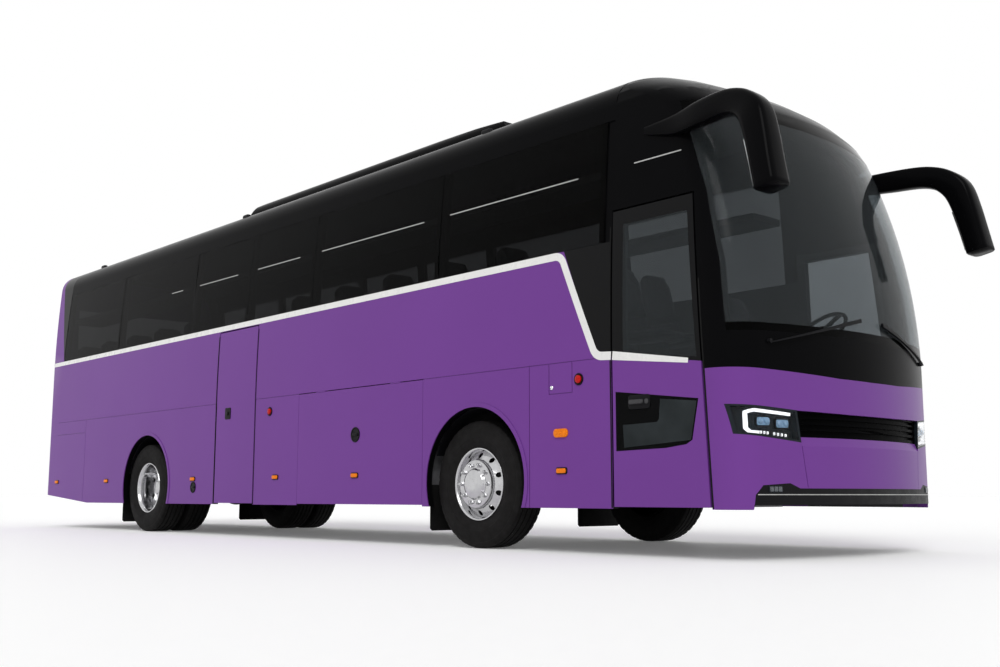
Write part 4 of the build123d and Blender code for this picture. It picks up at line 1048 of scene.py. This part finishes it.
MIRROR_STATIONS = [
    # x, y, z, tilt in degrees, breadth, depth
    (1.872, 1.200, 3.072, 4, 0.044, 0.060),
    (2.163, 1.225, 3.040, 2, 0.090, 0.143),
    (2.419, 1.285, 3.040, 1, 0.120, 0.172),
    (2.650, 1.332, 3.038, 3, 0.142, 0.174),
    (2.780, 1.358, 3.016, 18, 0.156, 0.180),
    (2.880, 1.378, 2.968, 34, 0.172, 0.194),
    (2.966, 1.400, 2.878, 54, 0.190, 0.212),
    (3.016, 1.415, 2.732, 72, 0.205, 0.195),
    (3.061, 1.430, 2.536, 78, 0.215, 0.182),
    (3.098, 1.440, 2.363, 79, 0.222, 0.178),
]
MIRROR_AROUND = 28


def curve_through(rows, steps):
    """Rows of numbers with more rows added between them along smooth curves."""
    result = []
    padded = [rows[0]] + rows + [rows[-1]]
    for a, b, c, d in zip(padded, padded[1:], padded[2:], padded[3:]):
        for k in range(steps):
            t = k / steps
            result.append([0.5 * (2 * q + (r - p) * t + (2 * p - 5 * q + 4 * r - w) * t * t
                                  + (3 * q - p - 3 * r + w) * t ** 3) for p, q, r, w in zip(a, b, c, d)])
    return result + [list(rows[-1])]


def add_horn(shape, way):
    verts = []
    stations = curve_through(MIRROR_STATIONS, 5)
    last = stations[-1]
    stations.append([last[0] + 0.001, last[1], last[2] - 0.008, last[3], last[4] * 0.94, last[5] * 0.92])
    for x, y, z, tilt, breadth, depth in stations:
        turn = math.radians(tilt)
        upward = Vector((math.sin(turn), 0, math.cos(turn)))
        for angle in turns(MIRROR_AROUND):
            offset = Vector((0, breadth / 2 * power(math.cos(angle), 0.5), 0))
            offset += upward * (depth / 2 * power(math.sin(angle), 0.5))
            verts.append(Vector((AXLE_X + x, way * y, z)) + offset)
    add_rings(shape, verts, MIRROR_AROUND)


def mirror_horns():
    horns = Shape()
    add_horn(horns, 1)
    add_horn(horns, -1)
    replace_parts(horns.make("mirror_horns", "black", sharp=50), "mirrors")


def mirror_face(side, way):
    def rows(proud):
        grid = []
        for x, y, z, tilt, breadth, depth in MIRROR_STATIONS[-3:]:
            turn = math.radians(tilt)
            out = Vector((-math.sin(turn), 0, -math.cos(turn))) * (depth / 2 + proud)
            middle = Vector((AXLE_X + x, way * y, z)) + out
            if z == MIRROR_STATIONS[-1][2]:
                middle += Vector((-math.cos(turn), 0, math.sin(turn))) * 0.03
            grid.append([middle + Vector((0, breadth * share, 0)) for share in (-0.30, -0.15, 0, 0.15, 0.30)])
        return grid

    add_slab(Shape(), rows(0.003), rows(-0.006)).make("mirror_face_" + side, "mirror")


# Roof: three small lamps along each edge, and lids on the air conditioner

ROOF_LAMPS = [-8.20, -4.28, -0.12]
ROOF_LAMP_Y = 0.985
ROOF_LAMP_Z = 3.575
LID_Z = 3.800
LID_PLACES = [-3.70, -2.85, -2.00]


def roof_fittings():
    lamps = Shape()
    for x in ROOF_LAMPS:
        for way in (1, -1):
            place = Matrix.Translation((AXLE_X + x, way * ROOF_LAMP_Y, ROOF_LAMP_Z))
            add_cap(lamps, rounded_box(0.13, 0.05, 0.02), 0.045, place)
    lamps.make("roof_lamps", "trim")
    lids = Shape()
    for x in LID_PLACES:
        place = Matrix.Translation((AXLE_X + x, 0, LID_Z))
        add_cap(lids, rounded_box(0.72, 1.20, 0.06), 0.008, place, 0.03)
    lids.make("conditioner_lids", "black")


# Rear: round lamps on the tail lamp panels, a blank plate and a lamp over the window

TAIL_ROUNDS = [(1.00, "red"), (1.20, "amber"), (1.40, "red"), (1.60, "red")]
TAIL_Y = 1.09
TAIL_RING = [(0.072, -0.003), (0.072, 0.006), (0.066, 0.008), (0.062, 0.003)]
TAIL_LENS = [(0.061, 0), (0.061, 0.006), (0.050, 0.014), (0.030, 0.019), (0.010, 0.021)]
REAR_PLATE_Z = 1.14
BRAKE_LAMP_Z = 3.20


def rear_fittings():
    for side, way in SIDES:
        rings = Shape()
        for number, (z, look) in enumerate(TAIL_ROUNDS):
            matrix = out_of_rear(way * TAIL_Y, z)
            add_button(rings, TAIL_RING, 36, matrix)
            add_button(Shape(), TAIL_LENS, 32, matrix).make(f"tail_round_{side}_{number}", look)
        rings.make("tail_rings_" + side, "chrome")
    place = out_of_rear(0, REAR_PLATE_Z, 0.004)
    plate = add_cap(Shape(), rounded_box(0.52, 0.11, 0.012), 0.006, place, 0.02)
    plate.make("rear_plate", "plate", "engine_lid")
    brake = Shape()
    for i in range(9):
        add_cap(brake, rounded_box(0.034, 0.022, 0.005), 0.010, out_of_rear(-0.16 + 0.04 * i, BRAKE_LAMP_Z))
    brake.make("high_brake_lamp", "red")


for hand, sign in SIDES:
    headlamp(hand, sign)
    mirror_face(hand, sign)
mirror_horns()
mud_flap_sheets()
lower_front()
side_fittings()
door_seals()
low_pane_view()
door_handle()
roof_fittings()
rear_fittings()


# Stage, light and camera

FLOOR_LIFT = 0.11
FLOOR_HALF = 400
SKY_LIGHT = 0.62
SUN_LIGHT = 1.3
SUN_SPREAD = 30
SUN_WAY = (-0.55, 0.62, -0.75)
CAMERA_PLACE = (AXLE_X + 7.094, -7.394, 0.429)
CAMERA_YAW = 137.72
CAMERA_PITCH = 8.12
CAMERA_LENS = 40.85


def background_rays(nodes, links):
    """One for the rays that show the background: straight to the camera, in a reflection or through glass."""
    path = nodes.new("ShaderNodeLightPath")
    seen = path.outputs["Is Camera Ray"]
    for name in ("Is Glossy Ray", "Is Transmission Ray"):
        seen = operate(nodes, links, "MAXIMUM", seen, path.outputs[name])
    return seen


def floor_material():
    """A pale floor whose lit part looks white to the camera and whose shadow stays."""
    material = finish("stage_white", (0.98, 0.98, 0.98), 0.6, spread=0.005, Specular_IOR_Level=0.05)
    nodes = material.node_tree.nodes
    links = material.node_tree.links
    lift = nodes.new("ShaderNodeEmission")
    level = operate(nodes, links, "MULTIPLY", background_rays(nodes, links), FLOOR_LIFT)
    links.new(level, lift.inputs["Strength"])
    both = nodes.new("ShaderNodeAddShader")
    links.new(nodes["Principled BSDF"].outputs["BSDF"], both.inputs[0])
    links.new(lift.outputs["Emission"], both.inputs[1])
    links.new(both.outputs["Shader"], nodes["Material Output"].inputs["Surface"])
    return material


def stage():
    work = bmesh.new()
    bmesh.ops.create_grid(work, x_segments=1, y_segments=1, size=FLOOR_HALF)
    mesh = bpy.data.meshes.new("stage_floor")
    work.to_mesh(mesh)
    work.free()
    ground = in_scene("stage_floor", mesh)
    ground.location = (0, 0, -0.001)
    mesh.materials.append(floor_material())


def world():
    sky = bpy.data.worlds.new("studio")
    bpy.context.scene.world = sky
    sky.use_nodes = True
    nodes = sky.node_tree.nodes
    links = sky.node_tree.links
    soft = nodes["Background"]
    white = nodes.new("ShaderNodeBackground")
    for background, strength in ((soft, SKY_LIGHT), (white, 1.0)):
        background.inputs["Color"].default_value = (1, 1, 1, 1)
        background.inputs["Strength"].default_value = strength
    mix = nodes.new("ShaderNodeMixShader")
    links.new(background_rays(nodes, links), mix.inputs["Fac"])
    links.new(soft.outputs["Background"], mix.inputs[1])
    links.new(white.outputs["Background"], mix.inputs[2])
    links.new(mix.outputs["Shader"], nodes["World Output"].inputs["Surface"])


def lights():
    key = bpy.data.lights.new("stage_key", "SUN")
    key.energy = SUN_LIGHT
    key.angle = math.radians(SUN_SPREAD)
    lamp = in_scene("stage_key", key)
    lamp.rotation_mode = "QUATERNION"
    lamp.rotation_quaternion = Vector(SUN_WAY).to_track_quat("-Z", "Y")


def camera():
    yaw = math.radians(CAMERA_YAW)
    pitch = math.radians(CAMERA_PITCH)
    ahead = Vector((math.cos(yaw) * math.cos(pitch), math.sin(yaw) * math.cos(pitch), math.sin(pitch)))
    right = Vector((math.sin(yaw), -math.cos(yaw), 0))
    up = right.cross(ahead)
    data = bpy.data.cameras.new("camera")
    data.sensor_width = 36
    data.lens = CAMERA_LENS
    data.clip_end = 1000
    eye = in_scene("camera", data)
    matrix = Matrix((right, up, -ahead)).transposed().to_4x4()
    matrix.translation = CAMERA_PLACE
    eye.matrix_world = matrix
    bpy.context.scene.camera = eye


stage()
world()
lights()
camera()
bpy.context.scene.view_settings.view_transform = "Standard"
